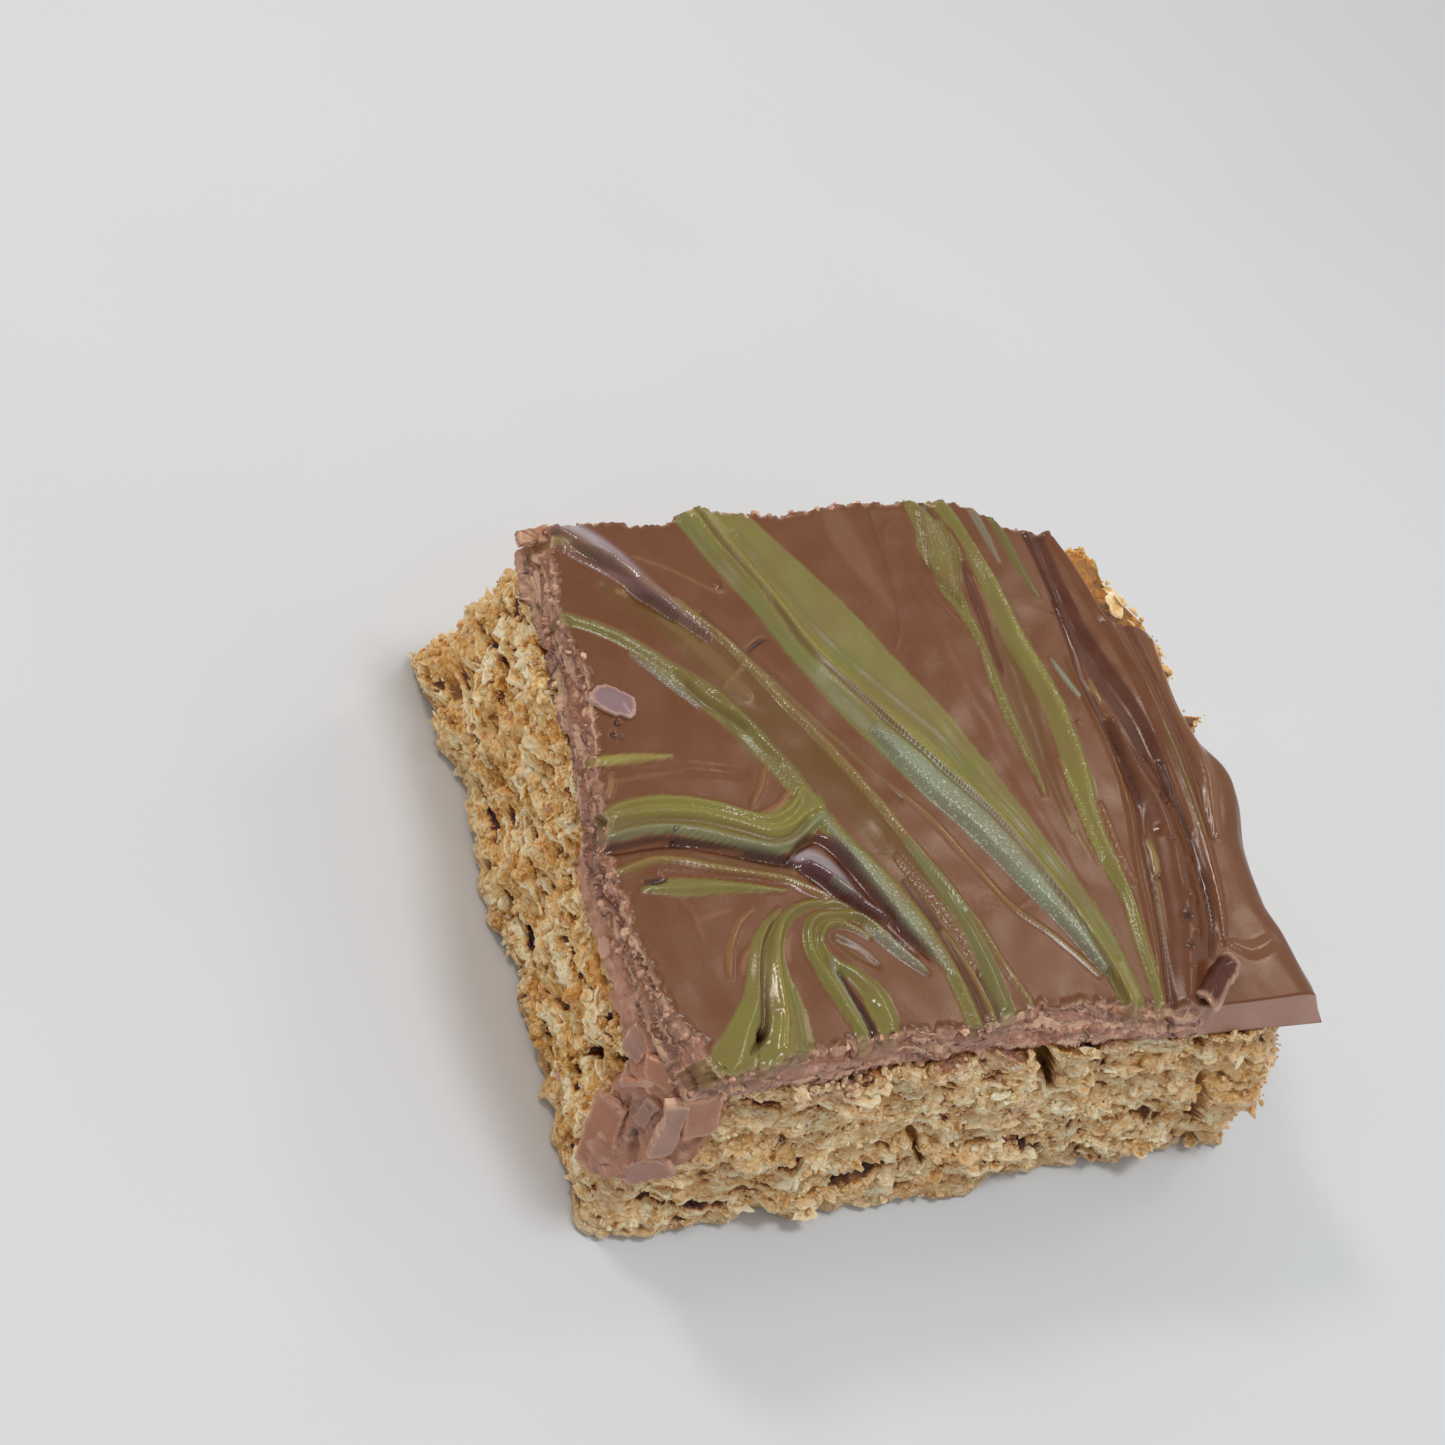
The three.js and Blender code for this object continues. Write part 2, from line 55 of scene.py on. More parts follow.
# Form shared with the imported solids
OAT_HEIGHT = 20.6
TOP_HEIGHT = 25.0
TOP_OUTLINE = {
    "near": [(-31.2, -26.4), (-21, -24.6), (-13, -24), (-5, -24), (0, -23), (7, -22.6), (12, -24),
             (20, -24.5)],
    "right": [(33.4, -24.2), (32.8, -18), (32, -14), (32.6, -8), (34.4, -3), (34.4, 0), (32.8, 3), (32, 7),
              (32.3, 12), (32, 15.4), (28.4, 16.4), (27.3, 21)],
    "far": [(25.4, 26.6), (20, 27), (17, 29), (15.5, 30), (2, 30), (-5, 28.5), (-14.5, 29), (-18, 27.5),
            (-24, 28)],
    "left": [(-29.8, 27), (-31.4, 17), (-30.6, 12.5), (-32.4, 4), (-34.4, -5), (-34.3, -15), (-33.4, -20),
             (-31.6, -23)],
}
UNDER_OUTLINE = {
    "near": [(-33, -26.2), (-20, -25.8), (0, -24.9), (12, -25.4), (24, -25.5)],
    "right": [(35.4, -25.6), (33.4, -19), (32.8, -14), (33.2, -8), (34.8, -3), (34.8, 0), (33.2, 3),
              (32.4, 7), (32.8, 12), (32.5, 15.6), (29, 16.6), (28, 21)],
    "far": [(26, 26.8), (20, 27.2), (15.5, 29.8), (2, 29.8), (-5, 28.6), (-14.5, 28.8), (-18, 27.6),
            (-28, 27.8)],
    "left": [(-31.6, 26.8), (-32.2, 17), (-32.2, 10), (-33.2, 3), (-34.4, -5), (-34.6, -15), (-34, -21)],
}


# Colours

def linear(code):
    """A colour written as #rrggbb, as the numbers that a shader takes."""
    parts = np.array([int(code[k:k + 2], 16) / 255 for k in (1, 3, 5)])
    return np.where(parts <= 0.04045, parts / 12.92, ((parts + 0.055) / 1.055) ** 2.4)


SHEEN = 0.028  # what the room's reflection adds to a surface
BLACKEST = 0.004
TOP_LIGHT = 1.08
SIDE_LIGHT = 0.58
OAT_LIGHT = 0.68


def paint(code, light):
    """The colour of a surface that looks like code under this much light."""
    return np.maximum(linear(code) - SHEEN, BLACKEST) / light


# The glint and sheen tints are painted highlights; the sage and lilac tints are colours of the chocolate that
# also paint sheen where strokes use them
TOP_TINTS = {
    "chocolate": "#7b5037", "rosy": "#845741", "dark": "#57372b", "deep": "#3f241c", "pale": "#a27a5f",
    "green": "#8a8149", "lime": "#a3974f", "moss": "#7b7d4c", "sage_and_sheen": "#9aa38d", "olive": "#755c39",
    "gold": "#9c8450", "peach": "#b88860", "lilac_and_sheen": "#a08488", "plum": "#67494c",
    "painted_glint": "#d8dccb", "painted_sheen": "#cbc3c6",
}
SIDE_TINTS = {
    "cut": "#957266", "torn": "#aa8472", "crumb": "#c4a186", "smeared": "#9c6c57", "slit_shade": "#402820",
}
TINTS = {name: paint(code, TOP_LIGHT) for name, code in TOP_TINTS.items()}
TINTS.update({name: paint(code, SIDE_LIGHT) for name, code in SIDE_TINTS.items()})


# Numbers and noise

def smooth(share):
    """A share that leaves 0 and reaches 1 gently."""
    share = np.clip(share, 0, 1)
    return share * share * (3 - 2 * share)


def mix(low, high, share):
    return low + (high - low) * share


class Grain:
    """Noise in space, about -1 to 1, the same on every run."""

    WAVE = 1.7  # brings the waves to about -1 to 1
    SLOPE = 0.8  # how far a facet leans

    def __init__(self, seed):
        rng = np.random.default_rng(seed)
        self.order = np.tile(rng.permutation(256), 3)
        arrows = rng.normal(size=(256, 3))
        self.arrows = arrows / np.linalg.norm(arrows, axis=1, keepdims=True)
        self.seeds = rng.uniform(0, 1, (256, 3))
        self.levels = rng.uniform(-1, 1, 256)

    def number(self, cell):
        x, y, z = (cell[..., k] & 255 for k in range(3))
        return self.order[self.order[self.order[x] + y] + z]

    def __call__(self, places, cell):
        """Smooth waves."""
        at = np.asarray(places, float) / cell
        low = np.floor(at).astype(int)
        part = at - low
        ease = part ** 3 * (part * (part * 6 - 15) + 10)
        total = 0
        for corner in np.ndindex(2, 2, 2):
            arrow = self.arrows[self.number(low + corner)]
            weight = np.prod(np.where(corner, ease, 1 - ease), axis=-1)
            total = total + weight * ((part - corner) * arrow).sum(-1)
        return self.WAVE * total

    def cells(self, places, cell):
        """The squared distance from the nearest of scattered seeds, and that seed's own leaning level."""
        at = np.asarray(places, float) / cell
        low = np.floor(at).astype(int)
        nearest = np.full(at.shape[:-1], np.inf)
        level = np.zeros(at.shape[:-1])
        for corner in np.ndindex(3, 3, 3):
            near = low + np.array(corner) - 1
            number = self.number(near)
            offset = at - near - self.seeds[number]
            distance = (offset ** 2).sum(-1)
            closer = distance < nearest
            nearest = np.where(closer, distance, nearest)
            lean = self.SLOPE * (offset * self.arrows[number]).sum(-1)
            level = np.where(closer, self.levels[number] + lean, level)
        return nearest, level

    def chips(self, places, cell):
        """Broken facets."""
        return self.cells(places, cell)[1]

    def beads(self, places, cell):
        """Round crumbs with creases between them, about -0.5 to 1."""
        nearest, level = self.cells(places, cell)
        return 1 - 3 * nearest + 0.3 * level

    def layered(self, places, layers):
        """The sum of waves of several sizes, each given as its cell and depth."""
        return sum(depth * self(places, cell) for cell, depth in layers)


grain = Grain(SEED)


def generator(number):
    """A random source of its own for each kind of piece."""
    return np.random.default_rng(SEED + number)


def at_height(plan, z):
    return np.column_stack([plan, np.broadcast_to(z, len(plan))])


# Strokes: what the spatula left in the soft chocolate

def stroke(tint, cover, height, crest=0.0, soft=0.3, comb=0.0, gloss=0.0, flat=False, path=()):
    """One stroke over a path of (x, y, half width). Cover is how fully its tint hides what lies under it,
    height its rise, and crest where across it the rise peaks, from -1 at its left to 1 at its right for a
    stroke drawn towards the near side. Soft is the width of its fading edge, and comb the depth of the fine
    lines along it."""
    return dict(tint=tint, cover=cover, height=height, crest=crest, soft=soft, comb=comb, gloss=gloss,
                flat=flat, path=path)


BROAD_BAND = [
    stroke("green", 1, 0.15, soft=0.14, flat=True, path=[
        (-13.6, 30, 3.6), (-11, 25, 3.9), (-7.9, 20, 4.25), (-5.3, 15, 4.8), (-2.8, 10, 4.85),
        (0.1, 5, 4.65), (2.8, 0, 4.25), (5.5, -5, 3.4), (7.9, -10, 2.8), (10.2, -15, 2.35),
        (11.7, -20, 1.5), (12.3, -26, 1.1)]),
    stroke("moss", 0.55, 0.35, crest=0.5, soft=0.5, path=[
        (-16.2, 29.5, 1.2), (-14.1, 25, 1), (-11.4, 20, 1.1), (-9.5, 15, 1.15), (-6.8, 10, 1.3),
        (-3.6, 5, 1.5), (-0.2, 0, 1.8), (3.4, -5, 1.7), (6.2, -10, 1.5), (8.5, -15, 1), (10.3, -20, 0.35)]),
    # Lower down the band's left flank, pale and bluish: a painted sheen over a real rise
    stroke("sage_and_sheen", 0.7, 0.6, crest=-0.6, soft=0.8, comb=0.06, gloss=0.9, path=[
        (-3.6, 5, 0.8), (-0.2, 0, 1.8), (3.4, -5, 1.8), (6.2, -10, 1.6), (8.5, -15, 1.1),
        (10.3, -20, 0.4)]),
    stroke("lime", 0.6, 0.8, crest=-0.45, soft=0.9, comb=0.03, gloss=0.35, path=[
        (-14.2, 29.5, 1.5), (-12.2, 25, 1.5), (-9.4, 19.6, 1.5), (-7.2, 14, 1.4), (-4.4, 9.8, 1.4),
        (-2, 6.6, 1.4), (0.3, 3.2, 1.4), (2.6, 0, 1.3), (5.3, -4, 1.3), (7, -7.6, 1.2), (8.9, -12.2, 1),
        (10.3, -16.6, 0.8), (11.3, -21, 0.7), (11.8, -25.5, 0.6)]),
    # The dark line in the crease beside the crest: painted shade in a real groove
    stroke("dark", 0.55, -0.5, soft=0.25, path=[
        (-14.7, 29.5, 0.3), (-13, 25, 0.3), (-10.3, 19.6, 0.3), (-8.2, 14, 0.35), (-5.3, 9.8, 0.38),
        (-3, 6.6, 0.38), (-0.6, 3.2, 0.38), (1.6, 0, 0.38), (4.4, -4, 0.36), (6.2, -7.6, 0.34),
        (8.1, -12.2, 0.3), (9.7, -16.6, 0.28), (10.8, -21, 0.24), (11.4, -25, 0.2)]),
    stroke("moss", 0.3, -0.24, soft=0.6, path=[
        (-11, 26, 0.9), (-8.2, 19.4, 1), (-5.8, 14.8, 1), (-1.6, 9, 1), (2.4, 4, 1), (5, -1.4, 0.9),
        (7, -5, 0.8), (9.4, -10, 0.6), (11.2, -15, 0.5), (12.2, -19, 0.3)]),
]
LEFT_STRAND = [
    stroke("green", 0.92, 0.5, crest=0.3, soft=0.25, comb=0.03, gloss=0.4, path=[
        (-33, 18.6, 0.6), (-29.5, 17.2, 0.6), (-27.5, 16.3, 0.65), (-25.5, 15, 0.8), (-23.7, 13.4, 0.95),
        (-21.9, 11.6, 1.15), (-20, 9.7, 1.35), (-18.4, 7.7, 1.4), (-17, 5.6, 1.4), (-15.6, 3.4, 1.25),
        (-14.4, 1, 1.2), (-13.2, -2, 1.1), (-11.4, -6, 1.1), (-9.9, -8.2, 1.1), (-8.4, -10.8, 1.3),
        (-7.2, -13.6, 1.25), (-6.4, -16, 0.95), (-5.5, -19, 0.8), (-5, -25.5, 0.8)]),
    # A pale bluish tint on the strand's flank: a painted sheen
    stroke("sage_and_sheen", 0.55, 0.5, crest=-0.5, soft=0.5, comb=0.07, gloss=1.0, path=[
        (-12.8, -3.8, 0.2), (-11.9, -6, 0.45), (-10.3, -8.6, 0.6), (-9, -11.2, 0.8), (-7.8, -14, 0.75),
        (-6.6, -17, 0.35), (-5.8, -19, 0.15)]),
    # A pale bluish line along the strand's lower edge: a painted highlight
    stroke("sage_and_sheen", 0.5, 0.3, comb=0.06, gloss=0.8, path=[
        (-26, 14, 0.15), (-24.2, 12.3, 0.3), (-22.6, 10.5, 0.35), (-21, 8.6, 0.25)]),
    stroke("gold", 0.35, 0.5, crest=0.3, gloss=0.9, path=[
        (-22, 12, 0.25), (-21.2, 10.7, 0.4), (-20.3, 9.4, 0.42), (-19.3, 8.6, 0.4), (-18.2, 7.2, 0.35),
        (-16.8, 5.6, 0.25)]),
    stroke("green", 0.6, 0.5, crest=0.2, gloss=0.9, path=[
        (-19.9, 9.9, 0.25), (-18.9, 9.4, 0.4), (-18.2, 8, 0.42), (-17.4, 6.6, 0.4), (-16.2, 4.8, 0.35),
        (-14.8, 2.6, 0.25)]),
    stroke("olive", 0.6, -0.3, path=[
        (-21.6, 10.6, 0.2), (-20.5, 8.9, 0.25), (-19, 7.6, 0.25), (-17.4, 5.9, 0.2)]),
    stroke("pale", 0.5, 0.08, path=[
        (-31.4, 18.7, 0.13), (-27, 16.9, 0.13), (-24.4, 15, 0.13), (-22, 12.9, 0.1)]),
    stroke("olive", 0.6, 0, path=[(-18.8, 6.6, 0.2), (-17.8, 4.4, 0.35), (-17, 2, 0.25)]),
    stroke("peach", 0.3, 0.15, path=[(-16.6, 2, 0.3), (-17.4, 0.5, 0.35), (-19, -1.4, 0.2)]),
    stroke("peach", 0.4, 0.15, path=[(-15.2, -0.6, 0.25), (-16.6, -1.7, 0.3), (-18.4, -2.3, 0.2)]),
]
OLIVE_BAND = [
    stroke("olive", 0.62, -0.1, soft=1.3, gloss=0.3, path=[
        (-26, 21, 0.8), (-22, 18.4, 1.4), (-19, 14.6, 2.1), (-16, 10.4, 2.7), (-13.2, 6, 2.9),
        (-10.6, 1.4, 2.6), (-8.4, -3, 2.1), (-6.2, -8, 1.6), (-4.2, -13.4, 1.4), (-2.8, -18.6, 1.4),
        (-1.8, -26, 1.5)]),
    stroke("gold", 0.3, 0.12, soft=0.7, path=[
        (-22.6, 19.2, 0.4), (-19.8, 16, 0.7), (-17.6, 12.8, 0.8), (-15.6, 9.4, 0.5)]),
    stroke("gold", 0.75, 0.4, crest=0.1, comb=0.03, gloss=0.8, path=[
        (-29.6, 26, 0.5), (-25.6, 23.9, 0.5), (-22, 21.2, 0.5), (-19, 18.4, 0.5), (-16.6, 15.8, 0.5),
        (-14.6, 12.9, 0.5), (-12.4, 9, 0.5), (-10.4, 5.9, 0.55), (-8.4, 2, 0.55), (-6.6, -1.8, 0.55),
        (-4.9, -5.6, 0.55), (-3.3, -9, 0.5), (-2, -12, 0.45), (-0.9, -15, 0.4), (0, -18.6, 0.35),
        (1.1, -22, 0.35), (1.6, -26, 0.3)]),
    stroke("gold", 0.6, 0.26, gloss=0.6, path=[
        (-19.4, 19.6, 0.2), (-16.2, 15.9, 0.26), (-12, 10.2, 0.3), (-8.4, 5, 0.3), (-5, 0.1, 0.26),
        (-2, -3.4, 0.24), (1, -8.7, 0.22), (3.4, -13.2, 0.26), (6.6, -16.6, 0.28), (9.6, -20.4, 0.24)]),
    stroke("dark", 0.35, -0.16, path=[
        (-17.4, 18, 0.25), (-13.4, 12.6, 0.3), (-9.6, 7.2, 0.3), (-6.4, 2.2, 0.3), (-4, -1.8, 0.25)]),
    stroke("moss", 0.8, 0.22, soft=0.4, gloss=0.4, path=[
        (-5.2, -6, 0.3), (-3.6, -9.6, 0.7), (-2.4, -13.6, 0.85), (-1.7, -18, 0.9), (-1.3, -26, 1)]),
    stroke("pale", 0.4, 0.35, crest=0.4, comb=0.05, gloss=1.0, path=[
        (-6.6, -7.6, 0.3), (-5.2, -10.6, 0.5), (-4, -13.4, 0.6), (-3.3, -16, 0.55), (-3, -19, 0.35)]),
    stroke("dark", 0.7, -0.3, path=[
        (-6.8, -10, 0.25), (-5.2, -14.6, 0.35), (-4.2, -19, 0.3), (-3.6, -25, 0.3)]),
    stroke("gold", 0.8, 0.35, gloss=0.5, path=[
        (-4.9, -15, 0.2), (-3.7, -18.4, 0.26), (-3, -22, 0.3), (-2.8, -26, 0.3)]),
    stroke("dark", 0.7, -0.35, path=[(-2.9, -19, 0.2), (-2.5, -22, 0.26), (-2.3, -26, 0.26)]),
]
FAR_CORNER = [
    # A lilac ridge whose pale tint is partly a painted sheen on its flank
    stroke("lilac_and_sheen", 0.45, 0.9, crest=-0.55, soft=0.7, gloss=1.2, path=[
        (-31, 28.6, 1.2), (-28.8, 27.4, 1.5), (-26.6, 26, 1.6), (-24.8, 24.4, 1.6), (-23.2, 22.5, 1.5),
        (-21.6, 20.3, 1.2), (-19.8, 18.1, 0.8), (-17.6, 15.6, 0.4)]),
    # A pale stroke on the ridge's flank: a painted sheen
    stroke("painted_sheen", 0.55, 0, soft=0.9, gloss=1.0, path=[
        (-30, 28.6, 0.3), (-28.5, 27.7, 0.8), (-26.4, 26.3, 0.9), (-24.4, 24.4, 0.9), (-22.8, 22.4, 0.6)]),
    stroke("dark", 0.6, -0.35, gloss=0.8, path=[
        (-30, 26.8, 0.2), (-28.3, 25.6, 0.25), (-26.7, 24.3, 0.3), (-25, 22.8, 0.3), (-23.4, 21.2, 0.25),
        (-22.2, 19.4, 0.15)]),
    # A pale lilac line below the ridge: a painted highlight over a small rise
    stroke("lilac_and_sheen", 0.3, 0.32, crest=0.2, soft=0.4, gloss=1.0, path=[
        (-29.2, 25.4, 0.3), (-27.9, 24.2, 0.3), (-25.9, 22.9, 0.32), (-24.2, 21.6, 0.32),
        (-22.4, 20.1, 0.3), (-20.8, 18.6, 0.2)]),
    stroke("dark", 0.5, -0.25, path=[(-24, 20.6, 0.2), (-22.2, 19, 0.6), (-20.4, 17.4, 0.4)]),
    stroke("peach", 0.45, 0.1, path=[
        (-22.1, 24.2, 0.12), (-20.3, 23.4, 0.12), (-18.1, 22.3, 0.12), (-16.5, 21.2, 0.12),
        (-15.4, 20.6, 0.12), (-14.2, 20.3, 0.12)]),
    stroke("gold", 0.7, 0.1, path=[(-30.6, 25.2, 0.3), (-29.4, 25.9, 0.35), (-28.2, 25.6, 0.2)]),
    stroke("peach", 0.6, 0, soft=0.4, path=[(-24.9, 20.6, 0.25), (-24.2, 20.2, 0.2)]),
    # A crack, its dark tint painted shade
    stroke("deep", 1, -0.5, soft=0.2, path=[(-11.7, 15.2, 0.1), (-12.8, 14.7, 0.14), (-14, 13.9, 0.1)]),
    stroke("gold", 0.5, 0.1, path=[
        (-14.2, 13.7, 0.08), (-15.2, 12.4, 0.1), (-16.2, 11.6, 0.1), (-17.6, 10.6, 0.08)]),
]
LEFT_SWIRLS = [
    stroke("lime", 1, 0.22, soft=0.2, path=[
        (-32.6, 3.5, 0.35), (-31, 3.55, 0.48), (-28.4, 3.6, 0.46), (-26.6, 3.6, 0.3), (-25.4, 3.7, 0.1)]),
    stroke("peach", 0.6, 0.3, path=[(-31.8, 2.1, 0.2), (-32, 1.2, 0.3), (-32.6, 0.2, 0.25)]),
    stroke("rosy", 0.5, -0.14, soft=0.8, gloss=0.4, path=[
        (-32.4, 2.2, 0.4), (-29, 2.6, 0.7), (-25.4, 2.4, 0.9), (-21.6, 2, 0.8), (-18.6, 1.6, 0.5)]),
    stroke("pale", 0.5, 0.1, path=[(-31.8, 1.5, 0.1), (-28, 1.9, 0.12), (-24.8, 2.1, 0.1)]),
    stroke("green", 1, 0.2, soft=0.16, flat=True, path=[
        (-36, -3.7, 0.7), (-34.3, -3, 1.1), (-32.5, -2.5, 1.6), (-30.5, -2.05, 1.75), (-28, -1.9, 1.8),
        (-25.8, -2.3, 2), (-23.2, -2.95, 2.05), (-21.2, -3.6, 2), (-19.4, -4.2, 2), (-17.8, -4.35, 2.05),
        (-16, -3.8, 1.9), (-14.4, -2.6, 1.7), (-12.8, -1.6, 0.9)]),
    stroke("lime", 0.35, 0.45, crest=0.2, comb=0.02, gloss=0.7, path=[
        (-34, -1.9, 0.4), (-32.2, -1.1, 0.6), (-29.4, -0.7, 0.6), (-26, -0.8, 0.6), (-22.6, -1.5, 0.6),
        (-20, -2.5, 0.6), (-17.6, -3, 0.6), (-15.5, -2.1, 0.5), (-14, -0.6, 0.4)]),
    stroke("lime", 0.3, 0.35, comb=0.02, gloss=0.6, path=[
        (-33.6, -2.2, 0.3), (-31, -1.75, 0.45), (-28, -1.7, 0.5), (-24.5, -2.1, 0.5), (-21.5, -3, 0.5),
        (-18.5, -4.1, 0.55), (-16.2, -3.8, 0.5), (-14, -2.6, 0.4), (-12.4, -2.5, 0.3)]),
    stroke("olive", 0.6, -0.3, path=[
        (-33, -2.9, 0.25), (-30, -2.5, 0.3), (-27, -2.6, 0.35), (-24, -3.1, 0.35), (-21, -4.1, 0.35),
        (-18.4, -5.1, 0.35), (-16.2, -4.7, 0.3), (-14.4, -3.4, 0.2)]),
    # A pale bluish line along the lower ridge: a painted highlight over a real rise
    stroke("sage_and_sheen", 0.35, 0.5, crest=-0.2, comb=0.02, gloss=0.8, path=[
        (-35.4, -4.2, 0.4), (-33, -3.6, 0.5), (-30.6, -3.3, 0.5), (-28, -3.3, 0.5), (-25, -3.9, 0.55),
        (-21.5, -5, 0.6), (-18.5, -5.8, 0.6), (-16.2, -5.2, 0.5), (-14.2, -3.9, 0.4), (-12.8, -3.2, 0.3)]),
    stroke("deep", 0.75, -0.65, gloss=1.0, path=[
        (-36, -5.1, 0.6), (-33, -4.9, 0.6), (-29.6, -4.6, 0.65), (-27.2, -4.8, 0.6), (-24, -5.5, 0.65),
        (-21, -6.4, 0.7), (-18.4, -7.1, 0.7), (-16.4, -7.3, 0.7)]),
    # Thin rosy lines along the dark channel: painted highlights over a small real rise
    stroke("rosy", 1, 0.3, gloss=1.0, path=[(-34.6, -5.1, 0.1), (-31.4, -4.7, 0.18), (-28.4, -4.45, 0.15)]),
    stroke("rosy", 1, 0.22, gloss=1.0, path=[(-26.4, -5.2, 0.1), (-23.8, -5.5, 0.16), (-21.6, -5.9, 0.1)]),
    stroke("olive", 0.4, 0, path=[(-27, -6.2, 0.4), (-23, -7, 0.5), (-20, -7.7, 0.5), (-17.4, -8.2, 0.4)]),
    stroke("gold", 0.85, 0.5, crest=0.1, comb=0.02, gloss=0.6, path=[
        (-35.4, -5.9, 0.3), (-34.2, -7, 0.32), (-32.3, -6.6, 0.34), (-30.4, -6.15, 0.32),
        (-28, -6.35, 0.26), (-25, -7.2, 0.26), (-21.6, -8.05, 0.28), (-18.6, -8.8, 0.32), (-16.4, -10, 0.4),
        (-14.2, -11.5, 0.5), (-12.2, -13.3, 0.6), (-10.6, -15.3, 0.6), (-9.2, -17.2, 0.45),
        (-8, -18.8, 0.15)]),
    # A pale streak where the gold ridge widens: a painted highlight
    stroke("pale", 0.6, 0.25, gloss=1.0, path=[
        (-18, -9.6, 0.15), (-16.4, -10.3, 0.25), (-14.8, -11.5, 0.2)]),
    # A pale bluish streak where the thin ridge ends: a painted highlight
    stroke("sage_and_sheen", 0.6, 0.45, crest=0.3, comb=0.05, gloss=1.0, path=[
        (-12.6, -13.9, 0.25), (-11, -15.6, 0.5), (-9.6, -17.3, 0.4), (-8.3, -18.6, 0.15)]),
    stroke("rosy", 0.6, -0.2, gloss=0.4, path=[
        (-30, -7.4, 0.4), (-26.4, -7.9, 0.5), (-22.6, -8.5, 0.4), (-19, -9.3, 0.2)]),
    stroke("green", 1, 0.35, soft=0.16, gloss=0.3, path=[
        (-32.5, -8.8, 0.12), (-31, -8.75, 0.6), (-29, -8.9, 0.85), (-26, -9, 0.8), (-23, -9.25, 0.5),
        (-20.5, -9.7, 0.25), (-18.8, -9.9, 0.08)]),
    # A small hole, darkened: painted shade
    stroke("deep", 0.9, -0.6, path=[(-31.8, -8.2, 0.15), (-31, -8.25, 0.34), (-30, -8.1, 0.15)]),
    stroke("pale", 0.35, 0.08, path=[(-29.3, -10, 0.12), (-28.5, -11.3, 0.14), (-28.4, -13.9, 0.1)]),
    # The next two peach streaks on low ridges stand in for a warm sheen: painted highlights over a small real
    # rise
    stroke("peach", 0.42, 0.2, crest=0.3, soft=0.5, gloss=0.8, path=[
        (-23, -11.5, 0.15), (-24.6, -12.7, 0.34), (-26.1, -14.8, 0.4), (-27, -17.2, 0.2)]),
    stroke("peach", 0.38, 0.12, soft=0.4, gloss=0.8, path=[
        (-23.6, -14.5, 0.15), (-25, -15.6, 0.24), (-25.9, -17, 0.15)]),
    stroke("peach", 0.3, 0, soft=0.4, path=[(-24.6, -11.2, 0.1), (-26.4, -11.6, 0.2), (-28, -12, 0.1)]),
]
PIT = [
    stroke("dark", 0.75, -0.55, soft=0.6, gloss=0.7, path=[
        (-17.4, -7, 0.2), (-16, -5.9, 0.5), (-14.2, -5.4, 0.6), (-12.8, -6.6, 0.75), (-11.6, -8.8, 0.85),
        (-10.3, -11.4, 0.8), (-8.9, -14.4, 0.6), (-7.2, -17.2, 0.25)]),
    stroke("dark", 0.75, -0.5, soft=0.6, gloss=0.6, path=[
        (-16.8, -8, 0.3), (-15.4, -9.2, 0.7), (-14, -10.9, 0.75), (-12.2, -12.7, 0.6), (-10.2, -14.7, 0.4),
        (-8.4, -16.9, 0.15)]),
    stroke("plum", 0.9, 0.75, crest=-0.5, soft=0.3, gloss=1.3, path=[
        (-17.2, -7.2, 0.4), (-15.6, -7.4, 1.15), (-14.2, -8.4, 1.25), (-12.9, -10.1, 1.05),
        (-11.7, -11.6, 0.75), (-10.5, -12.8, 0.5), (-9.2, -14, 0.15)]),
    # A pale stroke on the ridge's shoulder: a painted highlight
    stroke("painted_sheen", 0.65, 0, soft=0.7, gloss=1.2, path=[
        (-16.6, -6.8, 0.3), (-15.4, -6.9, 0.7), (-14.4, -7.7, 0.75), (-13.4, -9, 0.5),
        (-12.6, -10.2, 0.2)]),
    stroke("plum", 0.7, 0.25, gloss=1.3, path=[
        (-13.9, -4.8, 0.12), (-12.8, -5.4, 0.25), (-12, -6.6, 0.25), (-11.3, -7.8, 0.12)]),
    stroke("sage_and_sheen", 0.5, 0.25, gloss=1, path=[
        (-14.3, -9.4, 0.15), (-13.2, -10.4, 0.3), (-12.1, -11.2, 0.12)]),
]
